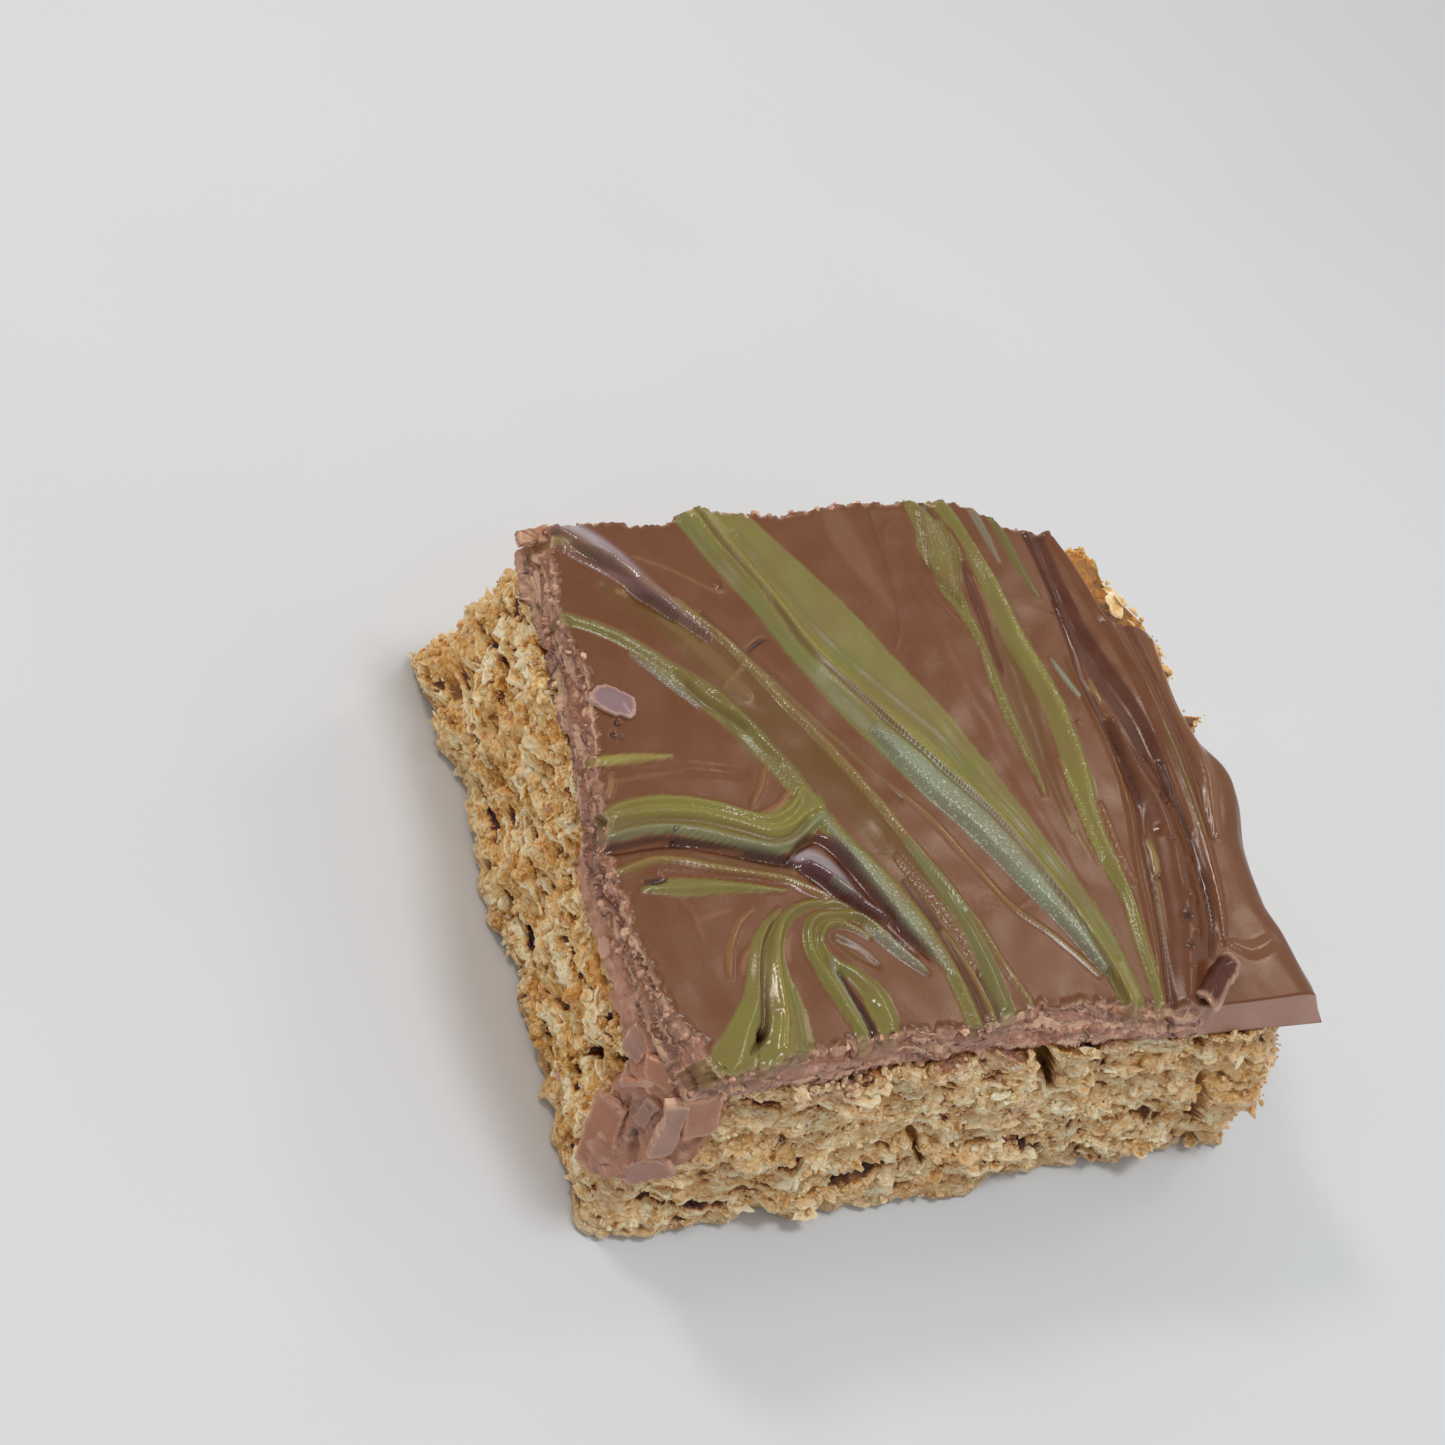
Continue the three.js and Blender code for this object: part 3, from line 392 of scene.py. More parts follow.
NEAR_FAN = [
    stroke("green", 1, 0.45, crest=-0.35, soft=0.16, comb=0.015, gloss=0.5, path=[
        (-13.4, -12.2, 0.2), (-15.5, -11.5, 0.35), (-17.5, -11.45, 0.45), (-19.5, -12.3, 0.55),
        (-21, -13.8, 0.65), (-22, -15.8, 0.85), (-22.6, -18, 1.25), (-22.9, -20.6, 1.9), (-23.6, -23, 2.4),
        (-24.6, -27, 3)]),
    stroke("green", 1, 0.4, crest=0.1, soft=0.16, comb=0.015, gloss=0.5, path=[
        (-20.2, -11.7, 0.2), (-22, -13.2, 0.55), (-23.4, -15, 0.75), (-24.5, -17.5, 0.85),
        (-25.6, -19.8, 1.05), (-27.2, -22, 1.35), (-29, -24.4, 1.9), (-31.4, -27.4, 2.6)]),
    stroke("lime", 0.6, 0.4, soft=0.6, gloss=0.9, path=[
        (-20.6, -13.3, 0.2), (-21.9, -15.6, 0.35), (-22.7, -18.4, 0.5), (-23.4, -21.4, 0.6),
        (-24.6, -24.4, 0.7)]),
    stroke("dark", 0.6, -0.5, path=[
        (-21.4, -12.8, 0.15), (-22.8, -14.8, 0.22), (-23.8, -17, 0.28), (-24.6, -19.6, 0.32),
        (-25.3, -21.8, 0.4), (-26.2, -23.2, 0.4), (-27.6, -24.4, 0.15)]),
    # A small hole, darkened: painted shade
    stroke("deep", 0.9, -0.7, path=[(-25.7, -22.2, 0.15), (-26, -22.7, 0.4), (-26.5, -23.2, 0.15)]),
    stroke("moss", 0.5, -0.12, soft=0.5, path=[(-21.7, -19, 0.3), (-22, -21.6, 0.4), (-22.6, -24.4, 0.5)]),
    stroke("green", 1, 0.5, crest=-0.2, soft=0.18, comb=0.02, gloss=0.7, path=[
        (-10.6, -15, 0.15), (-13, -13, 0.45), (-15, -12.6, 0.5), (-16.8, -12.7, 0.55), (-18, -13.8, 0.62),
        (-18.4, -15.6, 0.68), (-18.1, -17.4, 0.75), (-17.5, -19.4, 0.85), (-17, -21.4, 0.8),
        (-16.3, -24, 0.75), (-16, -27, 0.75)]),
    stroke("green", 1, 0.5, crest=0.1, soft=0.18, comb=0.015, gloss=0.7, path=[
        (-12.4, -14.9, 0.2), (-13.4, -14.1, 0.3), (-14.8, -13.4, 0.38), (-16.2, -13.5, 0.42),
        (-17.2, -14.7, 0.42), (-17.2, -16, 0.45), (-16.4, -17.2, 0.55), (-15.2, -18.2, 0.85),
        (-14.2, -19.8, 1.15), (-13.8, -21.6, 1.3), (-13.7, -23.4, 1.05), (-14, -27, 0.8)]),
    stroke("olive", 0.6, -0.3, soft=0.5, path=[
        (-15.8, -14.7, 0.4), (-14.8, -15.6, 0.8), (-13.6, -16.6, 0.8), (-12.6, -17.6, 0.3)]),
    stroke("rosy", 0.6, 0.1, path=[(-14.9, -15.6, 0.2), (-13.8, -16.3, 0.4), (-12.8, -17.2, 0.2)]),
    stroke("deep", 0.75, -0.5, gloss=0.8, path=[
        (-16.6, -18, 0.2), (-16, -20.4, 0.3), (-15.5, -22.4, 0.34), (-15.2, -24.6, 0.3)]),
    # A pale bluish streak between the strands: a painted highlight
    stroke("sage_and_sheen", 0.5, 0.25, comb=0.03, gloss=1.0, path=[
        (-17, -16.8, 0.15), (-16.9, -18.6, 0.25), (-16.4, -21, 0.25), (-16, -23.4, 0.15)]),
    stroke("peach", 0.35, 0.1, path=[(-19.9, -13.9, 0.1), (-20.7, -15, 0.16), (-21, -16.2, 0.1)]),
]
RIGHT_STRANDS = [
    stroke("green", 0.9, 0.35, soft=0.2, comb=0.03, gloss=0.6, path=[
        (9.9, 31, 1), (10.9, 27, 1.8), (11, 24.8, 2.35), (10.9, 22.8, 1.9), (10.5, 20.2, 1.2),
        (10.9, 17.7, 0.75), (11.4, 14.5, 0.6), (11.3, 12, 0.55), (11.2, 9.6, 0.65), (11.3, 6.5, 0.7),
        (11.5, 4, 0.6), (11.6, 1, 0.5), (11.6, -2.2, 0.12)]),
    stroke("olive", 0.4, 0.3, crest=-0.3, comb=0.03, gloss=0.8, path=[
        (10.2, 28.6, 0.3), (9.8, 25.4, 0.5), (9.3, 23, 0.55), (10, 20.6, 0.45), (10.8, 18.4, 0.3)]),
    stroke("olive", 0.35, 0.25, comb=0.03, gloss=0.6, path=[
        (12.2, 27.4, 0.3), (12.6, 24.6, 0.5), (11.8, 22, 0.4), (11.2, 20, 0.3)]),
    stroke("dark", 0.8, -0.4, path=[(10.6, 30, 0.4), (11.4, 29.2, 0.4), (12, 28.2, 0.2)]),
    stroke("green", 1, 0.5, crest=0.15, soft=0.18, comb=0.02, gloss=0.45, path=[
        (12.6, 31, 1), (13.4, 29, 1), (14.3, 26, 0.75), (14.9, 22, 1), (15.2, 18, 1.3), (15.6, 14, 1.4),
        (16.4, 10, 1.4), (16.7, 6, 1.3), (16.6, 3, 1.4), (16.3, 0, 1.5), (16, -2, 1.5), (15.7, -4, 1.2),
        (15.6, -8, 1.05), (15.8, -10, 1), (16, -13, 0.65), (15.6, -16, 0.7), (15.1, -20, 0.62),
        (14.7, -27, 0.6)]),
    stroke("lime", 0.5, 0.25, soft=0.4, comb=0.05, gloss=0.9, path=[
        (14.9, 25, 0.3), (15.7, 19, 0.5), (16.6, 13, 0.6), (17.3, 8, 0.55), (17.2, 3, 0.5), (16.9, -1, 0.4),
        (16.3, -6, 0.35), (16.4, -11, 0.3), (16, -17, 0.3), (15.3, -22, 0.25)]),
    stroke("lime", 0.4, 0.2, comb=0.05, gloss=0.9, path=[
        (14.8, 1.4, 0.2), (14.9, -1.4, 0.3), (14.9, -5, 0.3), (15, -9, 0.25)]),
    stroke("olive", 0.55, -0.12, soft=0.9, path=[
        (13.6, 15.4, 0.5), (13.9, 11.6, 1.2), (13.6, 7, 1.4), (13.4, 3, 1.1), (13.1, -1, 0.6),
        (13.2, -6, 0.3)]),
    stroke("dark", 0.5, -0.25, path=[(13, 23, 0.3), (12.8, 19, 0.7), (12.7, 15, 0.5), (12.4, 11, 0.3)]),
    stroke("pale", 0.6, 0.1, path=[(13.5, 21.4, 0.1), (13.6, 19.4, 0.13), (13.5, 17, 0.1)]),
    stroke("sage_and_sheen", 0.45, 0.12, path=[(16.5, 29.5, 0.5), (16.9, 26.6, 0.5), (17.2, 23.4, 0.25)]),
    stroke("moss", 0.7, 0.25, gloss=0.4, path=[
        (18.4, 28.6, 0.5), (18.9, 25.4, 0.6), (19.4, 22, 0.55), (20.2, 19.2, 0.2)]),
    stroke("sage_and_sheen", 0.8, 0.2, path=[(18.7, 12.3, 0.12), (19.2, 10.4, 0.3), (19.9, 8.2, 0.25)]),
    stroke("gold", 0.5, 0.12, soft=0.4, path=[(13.1, -3.6, 0.1), (13.4, -6.2, 0.25), (13.9, -9, 0.1)]),
    stroke("rosy", 0.7, 0.12, path=[(7.8, 21, 0.15), (8.4, 19.3, 0.25), (9.4, 17.4, 0.2), (10.2, 16, 0.1)]),
    stroke("peach", 0.35, 0.3, comb=0.06, gloss=1.0, path=[
        (17.4, -3.6, 0.2), (17.3, -6, 0.3), (17.2, -9, 0.25), (17.5, -11.6, 0.2)]),
]
RIGHT_RIDGES = [
    stroke("dark", 0.55, -0.4, soft=0.45, path=[
        (21.4, 28, 0.35), (21.9, 21, 0.4), (21.7, 14.1, 0.45), (21.1, 8.9, 0.45), (21.6, 1.2, 0.45),
        (21.7, -3.4, 0.45), (20.4, -7.9, 0.45), (19.4, -12.4, 0.45), (18, -17.4, 0.5), (16.3, -22.9, 0.5),
        (15.8, -26, 0.5)]),
    stroke("olive", 0.25, 0.2, soft=0.6, gloss=0.3, path=[
        (20.6, 12, 0.3), (20.6, 7.8, 0.4), (20.9, 0.5, 0.4), (20.3, -4.5, 0.4), (18.7, -9.6, 0.4),
        (17.5, -14.7, 0.4), (15.8, -21.3, 0.35)]),
    stroke("dark", 0.75, -0.3, soft=1.0, gloss=0.6, path=[
        (22.8, 29, 1.1), (22.9, 20.1, 1.2), (23.2, 14.4, 1.5), (24, 9.9, 1.8), (25, 6.2, 1.9),
        (25.5, 2.5, 1.7), (25.8, -0.8, 1.1), (25.6, -3.3, 0.6)]),
    stroke("dark", 0.3, 0.85, crest=-0.1, soft=0.6, gloss=0.1, path=[
        (22.2, 5, 0.5), (22.8, 0.4, 1.3), (23.6, -3.6, 1.9), (23.5, -7.6, 2), (22.8, -10.6, 2.2),
        (22, -14.2, 2.3), (21, -17.4, 2.3), (19.6, -20.2, 2.1), (17.8, -24, 1.7)]),
    stroke("deep", 0.6, -0.5, soft=0.5, gloss=0.4, path=[
        (26.3, 0.5, 0.3), (26.1, -4, 0.5), (26, -7.6, 0.5), (25.6, -10.4, 0.5), (25, -13.8, 0.45),
        (24, -17.2, 0.4), (22.6, -19.6, 0.2)]),
    stroke("rosy", 0.25, 0.6, crest=-0.1, soft=0.6, gloss=0.35, path=[
        (24, 29, 0.8), (24.8, 26, 0.85), (25.8, 22, 0.95), (26.6, 17.4, 1), (27.3, 13.5, 1), (27.9, 9.8, 1),
        (28.1, 6, 1), (28.2, 0.9, 1), (27.8, -4.9, 0.95), (27, -9.8, 0.85), (25.9, -14.6, 0.7),
        (24.7, -18.3, 0.4)]),
    # A pale moss streak along the ridge: a painted highlight
    stroke("moss", 0.35, 0, soft=0.5, gloss=0.9, path=[
        (28, 4.5, 0.2), (28.2, 1, 0.4), (28.1, -1.3, 0.45), (27.6, -4.8, 0.4), (27.3, -7.4, 0.2)]),
    stroke("dark", 0.3, -0.3, soft=0.8, path=[
        (28.2, 20, 0.3), (29, 15.8, 0.5), (29.6, 10.5, 0.6), (29.8, 6, 0.6), (30, 2.3, 0.6),
        (29.7, -1.4, 0.6), (29.2, -4.2, 0.5), (28.6, -7.6, 0.3)]),
    # A pale soft swell on the lip: a painted highlight over a real rise
    stroke("pale", 0.4, 0.32, crest=-0.4, soft=1.2, gloss=0.6, path=[
        (31.6, 14, 0.6), (31.2, 8, 0.9), (31.6, 3, 0.9), (31.3, -1, 0.9), (30.3, -4.2, 0.8),
        (29.2, -7.4, 0.5)]),
    # A pale swell near the lip's near end: a painted highlight
    stroke("pale", 0.25, 0.2, soft=1.2, gloss=0.5, path=[
        (25.6, -18.6, 0.6), (27.6, -19.4, 1.1), (30.4, -18.6, 1)]),
    stroke("gold", 1, 0.3, gloss=0.5, path=[(20.9, -7.6, 0.25), (20.9, -9, 0.34), (20.4, -11, 0.25)]),
    stroke("gold", 0.7, 0.15, path=[(20.2, -11.4, 0.1), (19.2, -14.6, 0.14), (18.3, -17.6, 0.1)]),
    stroke("gold", 0.7, 0.15, gloss=0.8, path=[(22, 9.6, 0.2), (21.9, 8.6, 0.35), (22.2, 7.6, 0.2)]),
    stroke("gold", 0.7, 0.15, gloss=0.8, path=[(22.5, 3.6, 0.2), (23, 2.5, 0.35), (23.2, 1.6, 0.2)]),
]
PLAIN_CHOCOLATE = [
    # A pale band in the plain chocolate: a painted reflection
    stroke("pale", 0.28, 0, soft=1.0, path=[
        (0.4, 31, 0.8), (1, 26, 1.6), (1.8, 22.4, 1.1), (3, 18.6, 0.5)]),
    stroke("dark", 0.35, 0.05, path=[
        (5, 30, 0.12), (4.5, 26, 0.14), (4.2, 21, 0.14), (3.2, 16.6, 0.14), (1.8, 14, 0.1)]),
    stroke("rosy", 0.5, 0.05, path=[
        (8.4, 27, 0.12), (6.8, 27.8, 0.12), (5.4, 26, 0.12), (5, 22, 0.12), (4.3, 17.6, 0.1)]),
    stroke("rosy", 0.4, 0.08, soft=1.2, path=[
        (6.6, 20, 0.8), (7.6, 12, 1.5), (8.6, 4, 1.5), (10, -4, 1.2), (11.6, -12, 0.7)]),
    stroke("rosy", 0.5, 0, soft=1.0, path=[
        (-21, 24.6, 0.8), (-17.6, 19.6, 1.2), (-13, 12.6, 1.1), (-8, 4.6, 0.9), (-3, -3, 0.8),
        (2.4, -11, 0.6)]),
    stroke("rosy", 0.35, 0, soft=1.2, path=[
        (-18, 3.6, 0.8), (-20, 1, 1.4), (-25, 0.6, 1.2), (-30, 0.4, 0.6)]),
    stroke("pale", 0.3, 0.05, path=[(3.6, -13.6, 0.1), (5.8, -12.6, 0.1), (7, -14.6, 0.1)]),
]
STROKES = (PLAIN_CHOCOLATE + OLIVE_BAND + FAR_CORNER + LEFT_STRAND + BROAD_BAND + RIGHT_STRANDS
           + RIGHT_RIDGES + LEFT_SWIRLS + NEAR_FAN + PIT)

# Burst bubbles and small holes: place, radius and height, a hole's being negative. A hole is also darkened,
# which is painted shade
BUBBLES = [
    (-14.6, 21, 0.65, 0.35), (-24.7, 23.6, 0.45, 0.3), (24.7, -3.4, 0.9, -0.5), (24.2, -2.8, 0.4, 0.35),
    (25.1, -4, 0.4, 0.35), (22.4, -6.7, 0.8, 0.2), (24.6, -9.9, 0.55, 0.25), (23.2, -7.9, 0.4, -0.2),
    (22.7, -13.8, 1.2, 0.3), (21.2, -15.8, 0.8, -0.2), (21.6, -17.4, 0.7, 0.25), (20, -18.8, 0.7, -0.2),
    (19.6, -21, 0.6, 0.25), (23.5, 0.4, 0.4, 0.3), (24.3, 0.9, 0.35, 0.25), (23, 0, 0.3, 0.25),
    (22.2, 6.2, 0.4, 0.2), (20.4, -11.3, 0.3, -0.4), (-26, -22.8, 0.5, -0.6), (12.7, -24, 0.5, -0.6),
    (-27.6, -3.5, 0.35, -0.4), (-27.7, -4.4, 0.4, -0.5), (-29.4, 7.2, 0.4, -0.6), (-30.2, 6, 0.4, -0.6),
    (-29.6, 5.6, 0.3, -0.4), (18.7, 5.2, 0.3, 0.15), (-23.1, -21.9, 0.4, 0.2), (-26.6, -23.2, 0.35, 0.2),
    (-25.5, -23.6, 0.3, 0.15), (-22.3, -24.2, 0.4, 0.2), (-23.8, -20.9, 0.3, 0.15), (-14.4, -21.2, 0.4, 0.2),
]
CURVE_STEP = 0.2
FLAT_SHOULDER = 0.3  # how much of each half of a flat stroke is its slope


def curve_through(points):
    """A smooth curve through points, sampled about every step."""
    points = np.array(points, float)
    padded = np.vstack([2 * points[0] - points[1], points, 2 * points[-1] - points[-2]])
    samples = []
    for before, start, end, after in zip(padded, padded[1:], padded[2:], padded[3:]):
        count = max(2, int(np.linalg.norm((end - start)[:2]) / CURVE_STEP))
        t = (np.arange(count) / count)[:, None]
        bend = 2 * before - 5 * start + 4 * end - after + t * (3 * start - before - 3 * end + after)
        samples.append(start + 0.5 * t * (end - before + t * bend))
    return np.vstack(samples + [points[-1:]])


def cross_section(across, crest, flat):
    """The rise of a stroke from its edges, at -1 and 1, to its crest, or to a flat back."""
    if flat:
        return smooth((1 - np.abs(across)) / FLAT_SHOULDER)
    return smooth(np.where(across < crest, (1 + across) / (1 + crest), (1 - across) / (1 - crest)))


class Drawing:
    """Height, colour and gloss that strokes and bubbles give soft chocolate at places in a plane."""

    WOBBLE = [(1.3, 0.07)]  # cell, depth
    COMB_CELL = (9.0, 0.5, 1.0)
    COMB_APART = 3.7  # sets the lines of one stroke apart from those of the next
    FULL_COMB = 0.05  # the depth of comb that counts as fully combed
    MARGIN = 0.4
    THINNEST = 0.05
    FINEST = 0.42  # a narrower ridge is spread to this half width, to suit the mesh
    BATCH = 4000

    def __init__(self, x, y, tint, strokes, bubbles=()):
        self.x, self.y = x, y
        self.height = np.zeros_like(x)
        self.tone = np.tile(TINTS[tint], (len(x), 1))
        self.gloss = np.zeros_like(x)
        self.comb = np.zeros_like(x)
        self.wobble = grain.layered(np.stack([x, y, np.zeros_like(x)], -1), self.WOBBLE)
        for number, one in enumerate(strokes):
            self.draw(number, **one)
        for bubble in bubbles:
            self.blow(*bubble)

    def close_to(self, line, reach):
        """The places that may lie within reach of a line."""
        low, high = line[:, :2].min(0) - reach, line[:, :2].max(0) + reach
        return np.flatnonzero((self.x > low[0]) & (self.x < high[0]) & (self.y > low[1]) & (self.y < high[1]))

    def along(self, line, inside):
        """For each place its nearest sample of a line, how far it is to the side, and how far past an end."""
        plan = np.stack([self.x[inside], self.y[inside]], -1)
        nearest = np.concatenate([((part[:, None] - line[None, :, :2]) ** 2).sum(-1).argmin(1)
                                  for part in np.array_split(plan, 1 + len(plan) // self.BATCH)])
        ahead = np.gradient(line[:, :2], axis=0)
        ahead /= np.linalg.norm(ahead, axis=1, keepdims=True)
        offset = plan - line[nearest, :2]
        heading = ahead[nearest]
        side = offset[:, 1] * heading[:, 0] - offset[:, 0] * heading[:, 1]
        ended = (nearest == 0) | (nearest == len(line) - 1)
        return nearest, side, np.where(ended, np.abs((offset * heading).sum(1)), 0)

    def draw(self, number, tint, cover, height, crest, soft, comb, gloss, flat, path):
        line = curve_through(path)
        inside = self.close_to(line, line[:, 2].max() + soft + self.MARGIN)
        if not len(inside):
            return
        nearest, side, beyond = self.along(line, inside)
        width = np.maximum(line[nearest, 2], self.THINNEST)
        broad = np.maximum(width, self.FINEST)
        within = width - np.hypot(side, beyond) + self.wobble[inside]
        fade = smooth((within + soft / 2) / soft)
        rise = cross_section(np.clip(side / broad, -1, 1), crest, flat)
        rise = rise * smooth(1 - beyond / broad) * width / broad
        self.height[inside] += height * rise
        if comb:
            apart = np.full_like(side, number * self.COMB_APART)
            lines = grain(np.stack([nearest * CURVE_STEP, side, apart], -1), self.COMB_CELL)
            self.height[inside] += comb * lines * fade
        if tint:
            self.tone[inside] = mix(self.tone[inside], TINTS[tint], (cover * fade)[:, None])
        self.comb[inside] = mix(self.comb[inside], min(1, comb / self.FULL_COMB), fade)
        self.gloss[inside] = mix(self.gloss[inside], gloss, fade)

    def blow(self, x, y, radius, height):
        share = smooth(1 - np.hypot(self.x - x, self.y - y) / radius)
        self.height += height * share
        # A hole is darkened: painted shade
        if height < 0:
            self.tone = mix(self.tone, TINTS["deep"], share[:, None])
        self.gloss = mix(self.gloss, 1, share)


# Mesh building

FLOOR_GAP = 0.03  # the lowest that a loose shape reaches


def grid_faces(index):
    """Two triangles for each cell of a grid of point numbers."""
    a, b, c, d = index[:-1, :-1], index[:-1, 1:], index[1:, 1:], index[1:, :-1]
    return np.concatenate([np.stack([a, b, c], -1).reshape(-1, 3), np.stack([a, c, d], -1).reshape(-1, 3)])


def closed(index):
    """A grid of point numbers whose last column joins its first."""
    return np.concatenate([index, index[:, :1]], axis=1)


def fan_faces(ring, middle):
    return np.stack([ring, np.roll(ring, -1), np.full_like(ring, middle)], -1)


def add_attribute(mesh, key, data):
    """A number or a colour for each point of a mesh."""
    if data.ndim == 1:
        layer = mesh.attributes.new(key, "FLOAT", "POINT")
        layer.data.foreach_set("value", data.astype(np.float32))
    else:
        layer = mesh.attributes.new(key, "FLOAT_COLOR", "POINT")
        rows = np.column_stack([data, np.ones(len(data))])
        layer.data.foreach_set("color", rows.astype(np.float32).ravel())


def add_mesh(name, places, faces, material, values, faceted=False):
    """A piece from arrays, riding on the part. Values holds a number or a colour for each place."""
    mesh = bpy.data.meshes.new(name)
    mesh.vertices.add(len(places))
    mesh.vertices.foreach_set("co", (np.asarray(places) * MM).astype(np.float32).ravel())
    mesh.loops.add(faces.size)
    mesh.loops.foreach_set("vertex_index", faces.astype(np.int32).ravel())
    mesh.polygons.add(len(faces))
    mesh.polygons.foreach_set("loop_start", np.arange(len(faces), dtype=np.int32) * 3)
    for key, data in values.items():
        add_attribute(mesh, key, data)
    mesh.update(calc_edges=True)
    if faceted:
        mesh.shade_flat()
    else:
        mesh.shade_smooth()
    mesh.validate()
    mesh.materials.append(material)
    piece = bpy.data.objects.new(name, mesh)
    bpy.context.scene.collection.objects.link(piece)
    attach(piece, "root")
    return piece


def add_many(name, shapes, faces, values, material):
    """One piece with faceted edges from many shapes that share their faces."""
    count, corners, _ = shapes.shape
    every = (faces[None] + (np.arange(count) * corners)[:, None, None]).reshape(-1, 3)
    places = shapes.reshape(-1, 3)
    places[:, 2] = np.maximum(places[:, 2], FLOOR_GAP)
    spread = {key: data.reshape(-1, *data.shape[2:]) for key, data in values.items()}
    piece = add_mesh(name, places, every, material, spread, faceted=True)


def slab_faces(segments, rows):
    """Faces of a flat piece: under middle, upper middle, then rings from beneath round the rim to above."""
    rings = 2 + np.arange(rows * segments).reshape(rows, segments)
    return np.vstack([fan_faces(rings[0, ::-1], 0), fan_faces(rings[-1], 1), grid_faces(closed(rings))])


def slabs(outline, thick, rows):
    """Points of flat pieces with these outlines, and how near each point is to the rim, from 0 to 1. Rows
    holds each ring's share of the outline and its height, from -0.5 beneath to 0.5 above."""
    count, segments, _ = outline.shape
    middle = np.zeros((count, 1, 3))
    lift = np.zeros((count, 1, 3))
    lift[..., 2] = thick / 2
    rings = [np.dstack([outline * share, np.broadcast_to(thick * side, (count, segments))])
             for share, side in rows]
    rim = [np.zeros((count, 2))]
    rim += [np.full((count, segments), smooth((share - 0.5) * 2)) for share, _ in rows]
    return np.concatenate([middle - lift, middle + lift, *rings], axis=1), np.concatenate(rim, axis=1)


def turned(shapes, normal, heading):
    """Shapes turned so that their third axis is normal and their first lies towards heading."""
    third = normal / np.linalg.norm(normal, axis=1, keepdims=True)
    second = np.cross(third, heading)
    second /= np.linalg.norm(second, axis=1, keepdims=True)
    first = np.cross(second, third)
    return np.einsum("nvi,nij->nvj", shapes, np.stack([first, second, third], 1))


def ball(levels):
    """Places and faces of a ball of triangles."""
    mesh = bpy.data.meshes.new("ball")
    made = bmesh.new()
    bmesh.ops.create_icosphere(made, subdivisions=levels, radius=1)
    made.to_mesh(mesh)
    made.free()
    places = np.array([v.co for v in mesh.vertices])
    faces = np.array([p.vertices for p in mesh.polygons])
    bpy.data.meshes.remove(mesh)
    return places, faces


